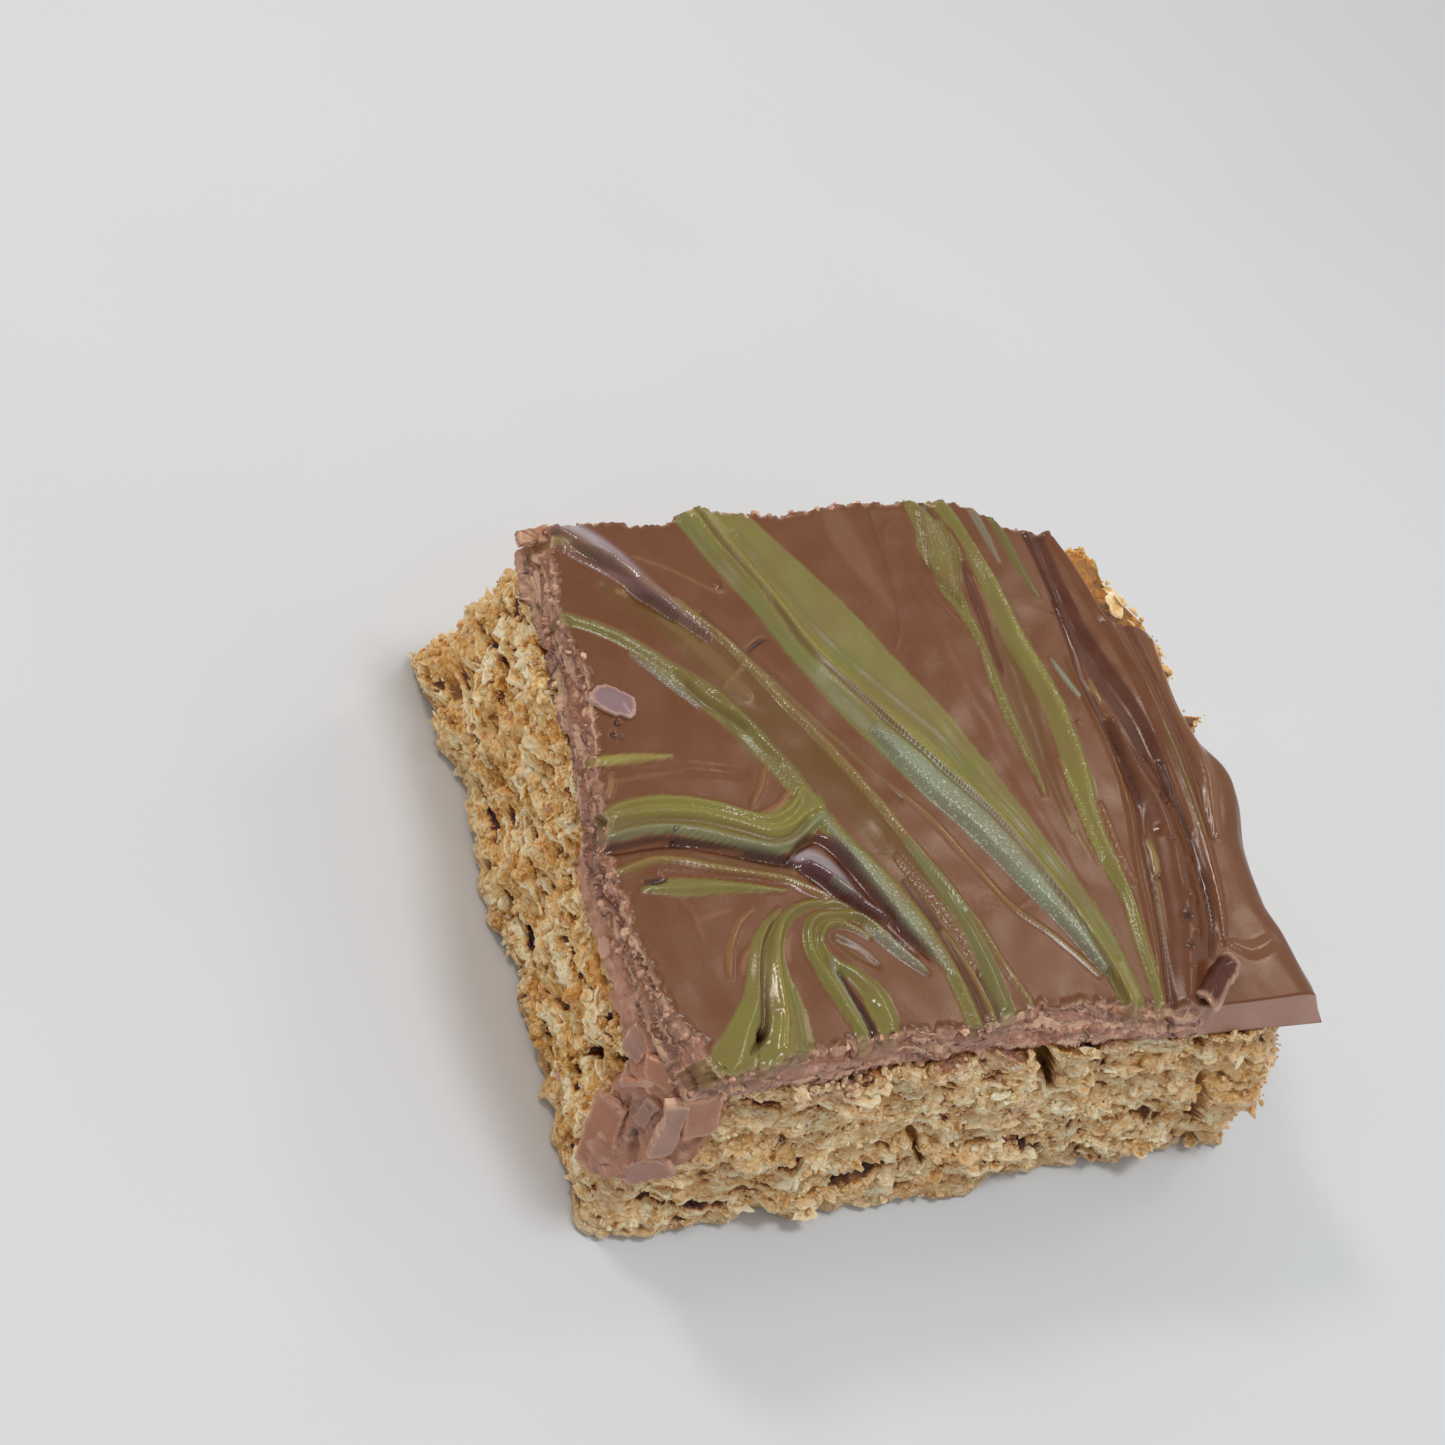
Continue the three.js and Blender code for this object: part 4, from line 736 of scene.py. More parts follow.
class Wiring:
    """A node material: each call adds a node and gives back its output."""

    def __init__(self, name):
        self.material = bpy.data.materials.new(name)
        self.material.use_nodes = True
        self.tree = self.material.node_tree
        self.shader = self.tree.nodes["Principled BSDF"].inputs
        self.place = self.node("ShaderNodeTexCoord").outputs["Object"]

    def node(self, kind, **settings):
        made = self.tree.nodes.new(kind)
        for key, value in settings.items():
            setattr(made, key, value)
        return made

    def put(self, socket, value):
        if isinstance(value, bpy.types.NodeSocket):
            self.tree.links.new(value, socket)
        elif np.ndim(value):
            socket.default_value = (*value, 1.0)[:len(socket.default_value)]
        else:
            socket.default_value = value

    def value_of(self, name):
        return self.node("ShaderNodeAttribute", attribute_name=name).outputs["Fac"]

    def colour_of(self, name):
        return self.node("ShaderNodeAttribute", attribute_name=name).outputs["Color"]

    def axes(self):
        """The place along x, y and z."""
        made = self.node("ShaderNodeSeparateXYZ")
        self.put(made.inputs[0], self.place)
        return made.outputs

    def cells(self, cell, stretch):
        """Places counted in cells, which are drawn out by stretch along each axis."""
        mapping = self.node("ShaderNodeMapping")
        self.put(mapping.inputs["Vector"], self.place)
        mapping.inputs["Scale"].default_value = [1 / (cell * MM * s) for s in stretch]
        return mapping.outputs["Vector"]

    def plates(self, cell, stretch=(1, 1, 1)):
        """Broken plates about cell millimetres across: the level of each and how far its edge is."""
        found = []
        for feature, output in (("F1", "Color"), ("DISTANCE_TO_EDGE", "Distance")):
            made = self.node("ShaderNodeTexVoronoi", feature=feature)
            self.put(made.inputs["Vector"], self.cells(cell, stretch))
            made.inputs["Scale"].default_value = 1.0
            found.append(made.outputs[output])
        return found

    def noise(self, cell, detail=2.0, stretch=(1, 1, 1), warp=0.0):
        """Noise about cell millimetres across."""
        made = self.node("ShaderNodeTexNoise")
        self.put(made.inputs["Vector"], self.cells(cell, stretch))
        made.inputs["Scale"].default_value = 1.0
        made.inputs["Detail"].default_value = detail
        made.inputs["Distortion"].default_value = warp
        return made.outputs["Fac"]

    def maths(self, operation, first, second=0.0, clamp=False):
        made = self.node("ShaderNodeMath", operation=operation, use_clamp=clamp)
        self.put(made.inputs[0], first)
        self.put(made.inputs[1], second)
        return made.outputs[0]

    def times(self, first, second):
        return self.maths("MULTIPLY", first, second)

    def total(self, *weighted):
        """The sum of values, each times its weight, kept between 0 and 1."""
        value, weight = weighted[0]
        found = self.times(value, weight)
        for value, weight in weighted[1:]:
            found = self.maths("ADD", found, self.times(value, weight))
        return self.maths("ADD", found, 0.0, clamp=True)

    def between(self, value, low, high, start=0.0, end=1.0):
        """The value carried from the range low to high onto start to end, smoothly."""
        made = self.node("ShaderNodeMapRange", interpolation_type="SMOOTHSTEP")
        numbers = {"Value": value, "From Min": low, "From Max": high, "To Min": start, "To Max": end}
        for key, number in numbers.items():
            self.put(made.inputs[key], number)
        return made.outputs["Result"]

    def mix(self, share, first, second):
        """Colours mixed, through the sockets that the node has for colours."""
        made = self.node("ShaderNodeMix", data_type="RGBA")
        self.put(made.inputs[0], share)
        self.put(made.inputs[6], first)
        self.put(made.inputs[7], second)
        return made.outputs[2]

    def ramp(self, share, stops):
        made = self.node("ShaderNodeValToRGB")
        self.put(made.inputs[0], share)
        while len(made.color_ramp.elements) < len(stops):
            made.color_ramp.elements.new(0.5)
        for element, (place, colour) in zip(made.color_ramp.elements, stops):
            element.position = place
            element.color = (*colour, 1.0)
        return made.outputs["Color"]

    def bump(self, height, depth, strength=1.0, under=None):
        """Relief depth millimetres high, over another bump if one is given."""
        made = self.node("ShaderNodeBump")
        self.put(made.inputs["Height"], height)
        made.inputs["Distance"].default_value = depth * MM
        self.put(made.inputs["Strength"], strength)
        if under:
            self.put(made.inputs["Normal"], under)
        return made.outputs["Normal"]

    def scatter(self, weight, radius, scale):
        """Light that passes under the surface, scale millimetres far."""
        self.put(self.shader["Subsurface Weight"], weight)
        self.put(self.shader["Subsurface Radius"], radius)
        self.put(self.shader["Subsurface Scale"], scale * MM)


# Chocolate: its material

BREAK_COLOURS = [(0.25, "smeared"), (0.42, "cut"), (0.62, "torn"), (0.85, "crumb")]
BREAK_PLATES = {"cell": 1.0, "stretch": (3.4, 3.4, 0.5)}
CHOCOLATE_SCATTER = {"weight": 0.06, "radius": (0.8, 0.4, 0.25), "scale": 0.4}
CHOCOLATE_IOR = 1.46


def marbled_tone(wiring, comb, cloud):
    """The drawn colours, clouded and flecked, with painted glints where the spatula left fine lines."""
    fleck = wiring.noise(0.35, detail=3)
    tone = wiring.mix(wiring.between(cloud, 0.35, 0.65, 0.0, 0.25), wiring.colour_of("tone"), TINTS["rosy"])
    tone = wiring.mix(wiring.between(fleck, 0.55, 0.75, 0.0, 0.10), tone, TINTS["pale"])
    grains = wiring.between(wiring.noise(0.26, detail=1), 0.6, 0.7)
    # Pale specks along the combed lines: a painted highlight
    painted_glint = wiring.times(grains, wiring.between(comb, 0.3, 1.0))
    return wiring.mix(wiring.times(painted_glint, 0.5), tone, TINTS["painted_glint"])


def broken_tone(wiring, crumb, level, edge):
    """Flat shreds of torn chocolate in several tones, with crumbs, and dark slits and darker hollows that are
    painted shade.
    """
    broken = wiring.ramp(level, [(at, TINTS[tint]) for at, tint in BREAK_COLOURS])
    broken = wiring.mix(0.35, broken, wiring.colour_of("tone"))
    broken = wiring.mix(wiring.between(crumb, 0.52, 0.7, 0.0, 0.5), broken, TINTS["crumb"])
    here_and_there = wiring.between(wiring.noise(2.4, detail=1), 0.44, 0.56)
    slit_shade = wiring.times(wiring.between(edge, 0.0, 0.06, 0.8, 0.0), here_and_there)
    # Dark slits at the plate edges and darker hollows of the crumb noise: painted shade
    dark = wiring.maths("MAXIMUM", slit_shade, wiring.between(crumb, 0.26, 0.36, 0.5, 0.0))
    return wiring.mix(dark, broken, TINTS["slit_shade"])


def chocolate_material():
    wiring = Wiring("marbled_chocolate")
    torn, gloss, comb = (wiring.value_of(name) for name in ("torn", "gloss", "comb"))
    cloud = wiring.noise(5, detail=4)
    crumb = wiring.noise(0.7, detail=4, warp=0.6)
    level, edge = wiring.plates(**BREAK_PLATES)
    tone = wiring.mix(wiring.between(torn, 0.05, 0.6), marbled_tone(wiring, comb, cloud),
                      broken_tone(wiring, crumb, level, edge))
    wiring.put(wiring.shader["Base Color"], tone)
    dull = wiring.between(cloud, 0.3, 0.7, 0.26, 0.36)
    wiring.put(wiring.shader["Roughness"], wiring.total((dull, 1.0), (gloss, -0.2), (torn, 0.2)))
    wiring.put(wiring.shader["IOR"], CHOCOLATE_IOR)
    wiring.scatter(**CHOCOLATE_SCATTER)
    satin = wiring.bump(wiring.noise(0.6, detail=3), 0.012)
    combed = wiring.between(comb, 0.0, 1.0, 0.03, 0.8)
    sparkle = wiring.bump(wiring.noise(0.24, detail=2), 0.09, combed, satin)
    shreds = wiring.maths("ADD", crumb, wiring.times(level, 0.6))
    wiring.put(wiring.shader["Normal"], wiring.bump(shreds, 0.25, torn, sparkle))
    return wiring.material


# Chocolate: the top, its edge and the side of the layer

SIDES = ("near", "right", "far", "left")
SIDE_CELLS = {"near": 290, "right": 236, "far": 290, "left": 236}
NEAR_END = SIDE_CELLS["near"]
RIGHT_END = NEAR_END + SIDE_CELLS["right"]
FAR_END = RIGHT_END + SIDE_CELLS["far"]
SIDE_ROWS = 18
SPAN = 6  # stations to each side that the way an edge faces is taken over
RIM_WIDTH = 4.0  # how far the flat underside lies in from the layer's edge
UNDER_MIDDLE = (2, 1.5)
TOP_WAVES = [(11, 0.18), (3.2, 0.07)]  # cell, depth
LIP = {"drop": 1.3, "round": 3.2, "bulge": 0.9, "ends": 10}  # ends: stations over which it fades
CUT_FROM = 20.5  # the near edge is torn up to here and smoothly cut beyond
CUT_FADE = 2.0
FAR_FRAY = 0.35
RAGGED = {"coarse": 0.26, "fine": 0.16}
FRAY = 0.05  # share of the top over which the breaks along its edge fade
EDGE = {"chip": 0.7, "pale": 0.34, "drop": 0.5}
SEAM = {"height": 21.25, "wave": 0.5, "notch": 0.4, "torn": 0.3}
TORN_SIDE = [(5.0, 1.0, 0.36), (2.0, 0.42, 0.2)]  # cell along, cell up, depth
# Tints with this much green for their red spill over the torn side, this share of the way down
SPILL = {"green": 0.62, "reach": 0.75, "torn": 0.25}


def spaced(path, count):
    """Points evenly spaced along a path, its end left out."""
    length = np.concatenate([[0], np.cumsum(np.linalg.norm(np.diff(path, axis=0), axis=1))])
    at = np.arange(count) / count * length[-1]
    return np.column_stack([np.interp(at, length, path[:, 0]), np.interp(at, length, path[:, 1])])


def ring_of(outline):
    """The stations of an outline, evenly spaced along each side. The lip at the right is curved."""
    places = []
    for k, side in enumerate(SIDES):
        corner = outline[SIDES[(k + 1) % 4]][0]
        path = np.array([*outline[side], corner], float)
        if side == "right":
            path = curve_through(np.column_stack([path, np.zeros(len(path))]))[:, :2]
        places.append(spaced(path, SIDE_CELLS[side]))
    return np.vstack(places)


def outward_of(ring):
    """The way that each station of a ring faces."""
    ahead = np.roll(ring, -SPAN, axis=0) - np.roll(ring, SPAN, axis=0)
    out = np.stack([ahead[:, 1], -ahead[:, 0]], -1)
    return out / np.linalg.norm(out, axis=1, keepdims=True)


def ragged(ring, torn):
    """A ring with its torn stretches broken into small chips."""
    coarse = RAGGED["coarse"] * grain.chips(at_height(ring, 3.3), 1.5)
    fine = RAGGED["fine"] * grain(at_height(ring, 8.1), 0.5)
    return ring + outward_of(ring) * ((coarse + fine) * torn)[:, None]


def sides_of(ring):
    """The four sides of a ring, near and far from left to right, right and left from near to far."""
    near = ring[:NEAR_END + 1]
    right = ring[NEAR_END:RIGHT_END + 1]
    far = ring[RIGHT_END:FAR_END + 1][::-1]
    left = np.vstack([ring[FAR_END:], ring[:1]])[::-1]
    return near, right, far, left


def stretched(ring, from_left, from_right, from_near, from_far):
    """A grid between the sides of a ring, each side counting by its share."""
    near, right, far, left = sides_of(ring)
    across = from_left * left[:, None] + from_right * right[:, None]
    deep = from_near * near[None] + from_far * far[None]
    corners = (from_left * (from_near * left[0] + from_far * left[-1])
               + from_right * (from_near * right[0] + from_far * right[-1]))
    return across + deep - corners


def top_grid(ring, broken_ring):
    """Plan of the top, stretched between its four edges and broken along them, with its point numbers, the
    numbers of its border points in order, its share of the way in from the lip and its distance from the torn
    edges."""
    across, deep = SIDE_CELLS["near"], SIDE_CELLS["right"]
    u = (np.arange(across + 1) / across)[None, :, None]
    v = (np.arange(deep + 1) / deep)[:, None, None]
    fray = [smooth(1 - share / FRAY) for share in (u, 1 - u, v, 1 - v)]
    plan = stretched(ring, 1 - u, u, 1 - v, v) + stretched(broken_ring - ring, *fray)
    near, right, far, left = sides_of(broken_ring)
    index = np.arange(plan[..., 0].size).reshape(deep + 1, across + 1)
    border = np.concatenate([index[0, :-1], index[:-1, -1], index[-1, :0:-1], index[:0:-1, 0]])
    lip = np.minimum(1, (1 - u[..., 0]) * 2 * right[:, :1] / LIP["round"]).ravel()
    gap = np.minimum(np.minimum(plan[..., 0] - left[:, :1], plan[..., 1] - near[None, :, 1]),
                     far[None, :, 1] - plan[..., 1]).ravel()
    return plan.reshape(-1, 2), index, border, lip, gap


def torn_shares(ring):
    """How torn the layer's side is at each station, how frayed its top edge, and how fully it is the lip."""
    torn = np.ones(len(ring))
    torn[:NEAR_END] = smooth((CUT_FROM - ring[:NEAR_END, 0]) / CUT_FADE)
    torn[NEAR_END:RIGHT_END] = 0
    fray = torn.copy()
    fray[RIGHT_END:FAR_END] = FAR_FRAY
    lip = np.zeros(len(ring))
    along_lip = np.arange(SIDE_CELLS["right"])
    lip[NEAR_END:RIGHT_END] = smooth(np.minimum(along_lip, along_lip[::-1]) / LIP["ends"])
    return torn, fray, lip


def broken_edge(plan, gap):
    """How far chips drop the top along its torn edges, and how pale its rim is there."""
    chips = grain(at_height(plan, 5.5), 0.9) + 0.5 * grain(at_height(plan, 1.5), 0.35)
    torn_here = 1 - smooth((plan[:, 0] - CUT_FROM) / CUT_FADE) * (plan[:, 1] < 0)
    drop = EDGE["drop"] * smooth(1 - gap / EDGE["chip"]) * torn_here * np.clip(0.35 + chips, 0, 1)
    return drop, np.clip(smooth(1 - gap / EDGE["pale"]) * (0.5 + chips) * torn_here, 0, 1)


def chocolate_side(top_ring, under_ring, edge_height, torn, lip):
    """Rings of the layer's side from just under its top edge down to the seam."""
    out = outward_of(top_ring)
    wave = SEAM["wave"] * grain(at_height(under_ring, 2.2), 1.9)
    notch = wave + SEAM["notch"] * grain.chips(at_height(under_ring, 6.2), 0.8)
    seam = SEAM["height"] + (SEAM["torn"] + notch) * torn
    rings = []
    for share in np.arange(1, SIDE_ROWS + 1) / SIDE_ROWS:
        place = np.column_stack([mix(top_ring, under_ring, share), mix(edge_height, seam, share)])
        flakes = sum(depth * grain.chips(place, (along, along, up)) for along, up, depth in TORN_SIDE)
        bulge = LIP["bulge"] * np.sin(math.pi * share) * lip + flakes * torn * smooth(share * 6)
        place[:, :2] += out * bulge[:, None]
        rings.append(place)
    return np.vstack(rings)


def side_tones(edge_tone, torn):
    """The side is the top's colour where it turns over, then the colour of a break or of a cut. Also how torn
    it is, less so where a green stroke spills over it."""
    stations = len(torn)
    shares = np.repeat(np.arange(1, SIDE_ROWS + 1) / SIDE_ROWS, stations)
    edge = np.tile(edge_tone, (SIDE_ROWS, 1))
    near = np.tile(np.arange(stations) < NEAR_END, SIDE_ROWS)
    ragged_side = np.tile(torn, SIDE_ROWS)
    spill = (edge[:, 1] > edge[:, 0] * SPILL["green"]) & (shares < SPILL["reach"])
    below = np.where(near[:, None], TINTS["cut"], TINTS["chocolate"])
    tone = mix(below, edge, (smooth(1.1 - 1.6 * shares) * mix(1, 0.7, ragged_side))[:, None])
    tone = mix(tone, TINTS["cut"], (near * (1 - ragged_side))[:, None])
    return tone, np.where(spill, ragged_side * SPILL["torn"], ragged_side)


def under_face(under_ring):
    """The ring of the flat underside, with its middle last."""
    core = under_ring * (1 - RIM_WIDTH / np.linalg.norm(under_ring, axis=1, keepdims=True))
    return np.vstack([at_height(core, SEAM["height"]), [[*UNDER_MIDDLE, SEAM["height"]]]])


def layer_faces(index, border, side_count, under_count):
    """Faces of the top, then of the band down its side and in under it, then of the underside."""
    first_side = index.size
    first_under = first_side + side_count
    side_index = first_side + np.arange(side_count).reshape(SIDE_ROWS, -1)
    core_index = first_under + np.arange(under_count - 1)
    band = closed(np.vstack([core_index, side_index[::-1], border]))
    return np.vstack([grid_faces(index), grid_faces(band),
                      fan_faces(core_index[::-1], first_under + under_count - 1)])


def chocolate_layer(material):
    """The layer, whose edge ring and torn shares it gives back."""
    plain_ring = ring_of(TOP_OUTLINE)
    torn, fray, lip = torn_shares(plain_ring)
    ring = ragged(plain_ring, fray)
    under_ring = ring_of(UNDER_OUTLINE)
    plan, index, border, lip_share, gap = top_grid(plain_ring, ring)
    top = Drawing(plan[:, 0], plan[:, 1], "chocolate", STROKES, BUBBLES)
    height = TOP_HEIGHT + top.height + grain.layered(at_height(plan, 0), TOP_WAVES)
    height -= LIP["drop"] * (1 - np.sqrt(1 - (1 - lip_share) ** 2))
    drop, rim = broken_edge(plan, gap)
    height -= drop
    side = chocolate_side(ring, under_ring, height[border], torn, lip)
    side_tone, side_torn = side_tones(top.tone[border], torn)
    under = under_face(under_ring)
    blank = np.zeros(len(side) + len(under))
    top_tone = mix(top.tone, TINTS["crumb"], 0.6 * rim[:, None])
    values = {
        "tone": np.vstack([top_tone, side_tone, np.tile(TINTS["chocolate"], (len(under), 1))]),
        "torn": np.concatenate([0.5 * rim, side_torn, np.full(len(under), 0.4)]),
        "gloss": np.concatenate([top.gloss, blank]),
        "comb": np.concatenate([top.comb, blank]),
    }
    places = np.vstack([np.column_stack([plan, height]), side, under])
    faces = layer_faces(index, border, len(side), len(under))
    piece = add_mesh("chocolate_top", places, faces, material, values)
    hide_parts("chocolate_layer")
    return np.column_stack([ring, height[border]]), torn


# Chocolate: loose-edged shards and plates

def shard(at, size, thick, turn, tint, torn, gloss, bend=0.0, square=0.9):
    """A flat shard. Turn is its heading about the vertical, its tilt back from flat and its spin in its own
    plane, in degrees, and square is how far its outline goes from round to square."""
    return dict(at=at, size=size, thick=thick, turn=turn, tint=tint, torn=torn, gloss=gloss, bend=bend,
                square=square)


SHARDS = [
    shard((21.4, -22, 25.9), (6.6, 2.6), 0.55, (36, -32, 0), "dark", 0.0, 0.4, bend=0.9),
    shard((-29.3, 9.2, 25.25), (4.5, 2.5), 0.5, (-24, 6, 0), "lilac_and_sheen", 0.0, 0.9, square=0.35),
    shard((-31, 26.9, 24.3), (3.4, 1.4), 0.9, (8, 4, 0), "peach", 0.35, 0.2),
    shard((-30.1, -26.6, 19), (3.3, 6.6), 0.8, (0, 82, 20), "smeared", 0.05, 0.2),
    shard((-32.4, -26.7, 17.4), (2, 8.2), 0.9, (-8, 83, 13), "cut", 0.1, 0.3),
]
# Plates on the smear: distance round from the near left corner and height, length and width, lift, spin,
# tint, how torn and how glossy
SMEAR_PLATES = [
    ((-2.8, 9.4), (3.4, 9), 0.25, 17, "smeared", 0.1, 0.15),
    ((-1.6, 15.4), (1.2, 3.2), 0.1, 4, "cut", 0, 0.9),
    ((1.1, 9.6), (2.4, 5.4), 0.0, -28, "cut", 0.15, 0.2),
    ((-2.6, 20.4), (3.2, 2.6), 0.0, 24, "smeared", 0.1, 0.2),
    ((-5.6, 19.2), (2.2, 3.4), -0.1, 10, "cut", 0.2, 0.1),
    ((-3.4, 17.6), (0.6, 3.6), 0.45, -38, "torn", 0.1, 0.3),
    ((0.4, 20.6), (2.6, 2.4), 0.0, -12, "cut", 0.2, 0.1),
    ((-9.4, 19.4), (2.8, 1.8), -0.1, 4, "smeared", 0.2, 0.1),
    ((-14.2, 19.6), (2, 1.6), 0.0, -10, "torn", 0.2, 0.1),
]
PLATE = {"thick": 0.7, "tilt": 86, "square": 0.65}
SHARD_SEGMENTS = 48
UNDER_ROWS = [(0.4, -0.5), (0.75, -0.5), (0.93, -0.5), (1, -0.3)]
SHARD_ROWS = UNDER_ROWS + [(share, -side) for share, side in reversed(UNDER_ROWS)]
SHARD_CHIP = 0.22
SHARD_WARP = [(1.6, 0.14)]  # cell, depth


def smear_plates(sides):
    """The plates of the smear as shards that stand where its surface is."""
    made = []
    for (distance, z), size, lift, spin, tint, torn, gloss in SMEAR_PLATES:
        column = int(distance / sides.step) % sides.count
        out = sides.out[column]
        reach = sides.level[sides.row_at(z), column] + SMEAR["depth"] + lift
        heading = math.degrees(math.atan2(out[0], -out[1]))
        made.append(shard((*(sides.start[column] + out * reach), z), size, PLATE["thick"],
                          (heading, PLATE["tilt"], spin), tint, torn, gloss, square=PLATE["square"]))
    return made


def shard_outline(number, size, square):
    """A chipped outline between round and square."""
    angle = np.arange(SHARD_SEGMENTS) / SHARD_SEGMENTS * 2 * math.pi
    box = 1 / np.maximum(np.abs(np.cos(angle)), np.abs(np.sin(angle)))
    outline = np.column_stack([np.cos(angle), np.sin(angle)]) * (box ** square)[:, None] * np.array(size) / 2
    coarse = grain(at_height(outline, number * 5.3), 2.2)
    fine = grain(at_height(outline, number * 2.1), 0.6)
    return outline + (SHARD_CHIP * (1.6 * coarse + 0.7 * fine))[:, None] * np.sign(outline)


def shard_shape(number, one):
    """Points of one shard in its place, and how near each is to its rim."""
    outline = shard_outline(number, one["size"], one["square"])
    shapes, rim = slabs(outline[None], np.array([[one["thick"]]]), SHARD_ROWS)
    shape = shapes[0]
    shape[:, 2] -= one["bend"] * (shape[:, 1] / (one["size"][1] / 2)) ** 2
    shape[:, 2] += grain.layered(shape + number * 7, SHARD_WARP)
    heading, tilt, spin = (math.radians(part) for part in one["turn"])
    turn = (Matrix.Translation(one["at"]) @ Matrix.Rotation(heading, 4, "Z") @ Matrix.Rotation(tilt, 4, "X")
            @ Matrix.Rotation(spin, 4, "Z"))
    turn = np.array(turn)
    return shape @ turn[:3, :3].T + turn[:3, 3], smooth(rim[0] * 3 - 2)


def chocolate_shards(sides, material):
    every = SHARDS + smear_plates(sides)
    shapes, edges = zip(*[shard_shape(number, one) for number, one in enumerate(every)])
    tones = [mix(TINTS[one["tint"]], TINTS["crumb"], 0.4 * edge[:, None]) for one, edge in zip(every, edges)]
    torns = [np.clip(one["torn"] + 0.3 * edge, 0, 1) for one, edge in zip(every, edges)]
    glosses = [np.full(len(edge), one["gloss"]) for one, edge in zip(every, edges)]
    values = {"tone": np.array(tones), "torn": np.array(torns), "gloss": np.array(glosses),
              "comb": np.zeros(np.shape(torns))}
    faces = slab_faces(SHARD_SEGMENTS, len(SHARD_ROWS))
    add_many("chocolate_shards", np.array(shapes), faces, values, material)


# Oats: the side faces, where the smear, the loose flakes, the lumps and the grit sit

OAT_TOP = 21.1
FISSURE = 0.5  # how much deeper than its surroundings a place is when it lies in an open fissure
MARKED = -0.15  # drawn crevices deeper than this hold nothing loose
STRATA = [(3.4, 9.0, 0.8, 1.0), (1.5, 4.0, 0.4, 0.5)]  # a layer's thickness, run, reach and overhang
STRATA_WARP = {"depth": 0.45, "cell": (9.0, 9.0, 14.0)}
STRATA_PALE = 0.2
OVERHANG_LIP = 0.35
LAYERS_APART, SHELVES_APART, TONES_APART = 7.3, 31.5, 11.5  # steps through the noise
CORE = {"sunk": 0.25, "lump": 0.4, "lump_cell": (2.6, 2.6, 1.9), "droop": 0.5, "foot": 0.55}
CRUMBS = [(1.15, 0.16), (0.62, 0.15)]  # cell, depth
JAGS = [(1.3, 0.3), (0.6, 0.1)]  # cell, depth
PASTE = {"apart": 17.3, "cell": (5.5, 5.5, 2.6), "share": 0.4, "contrast": 1.6}


def crevice(*path, depth=2.4):
    """An open crevice over a path of (distance round, height, half width), deepest under its upper edge."""
    return stroke(None, 0, -depth, crest=0.2, path=sorted(path))


def ledge(*path, rise=0.8):
    """A ledge that stands out most along its lower edge."""
    return stroke(None, 0, rise, crest=-0.5, path=sorted(path))


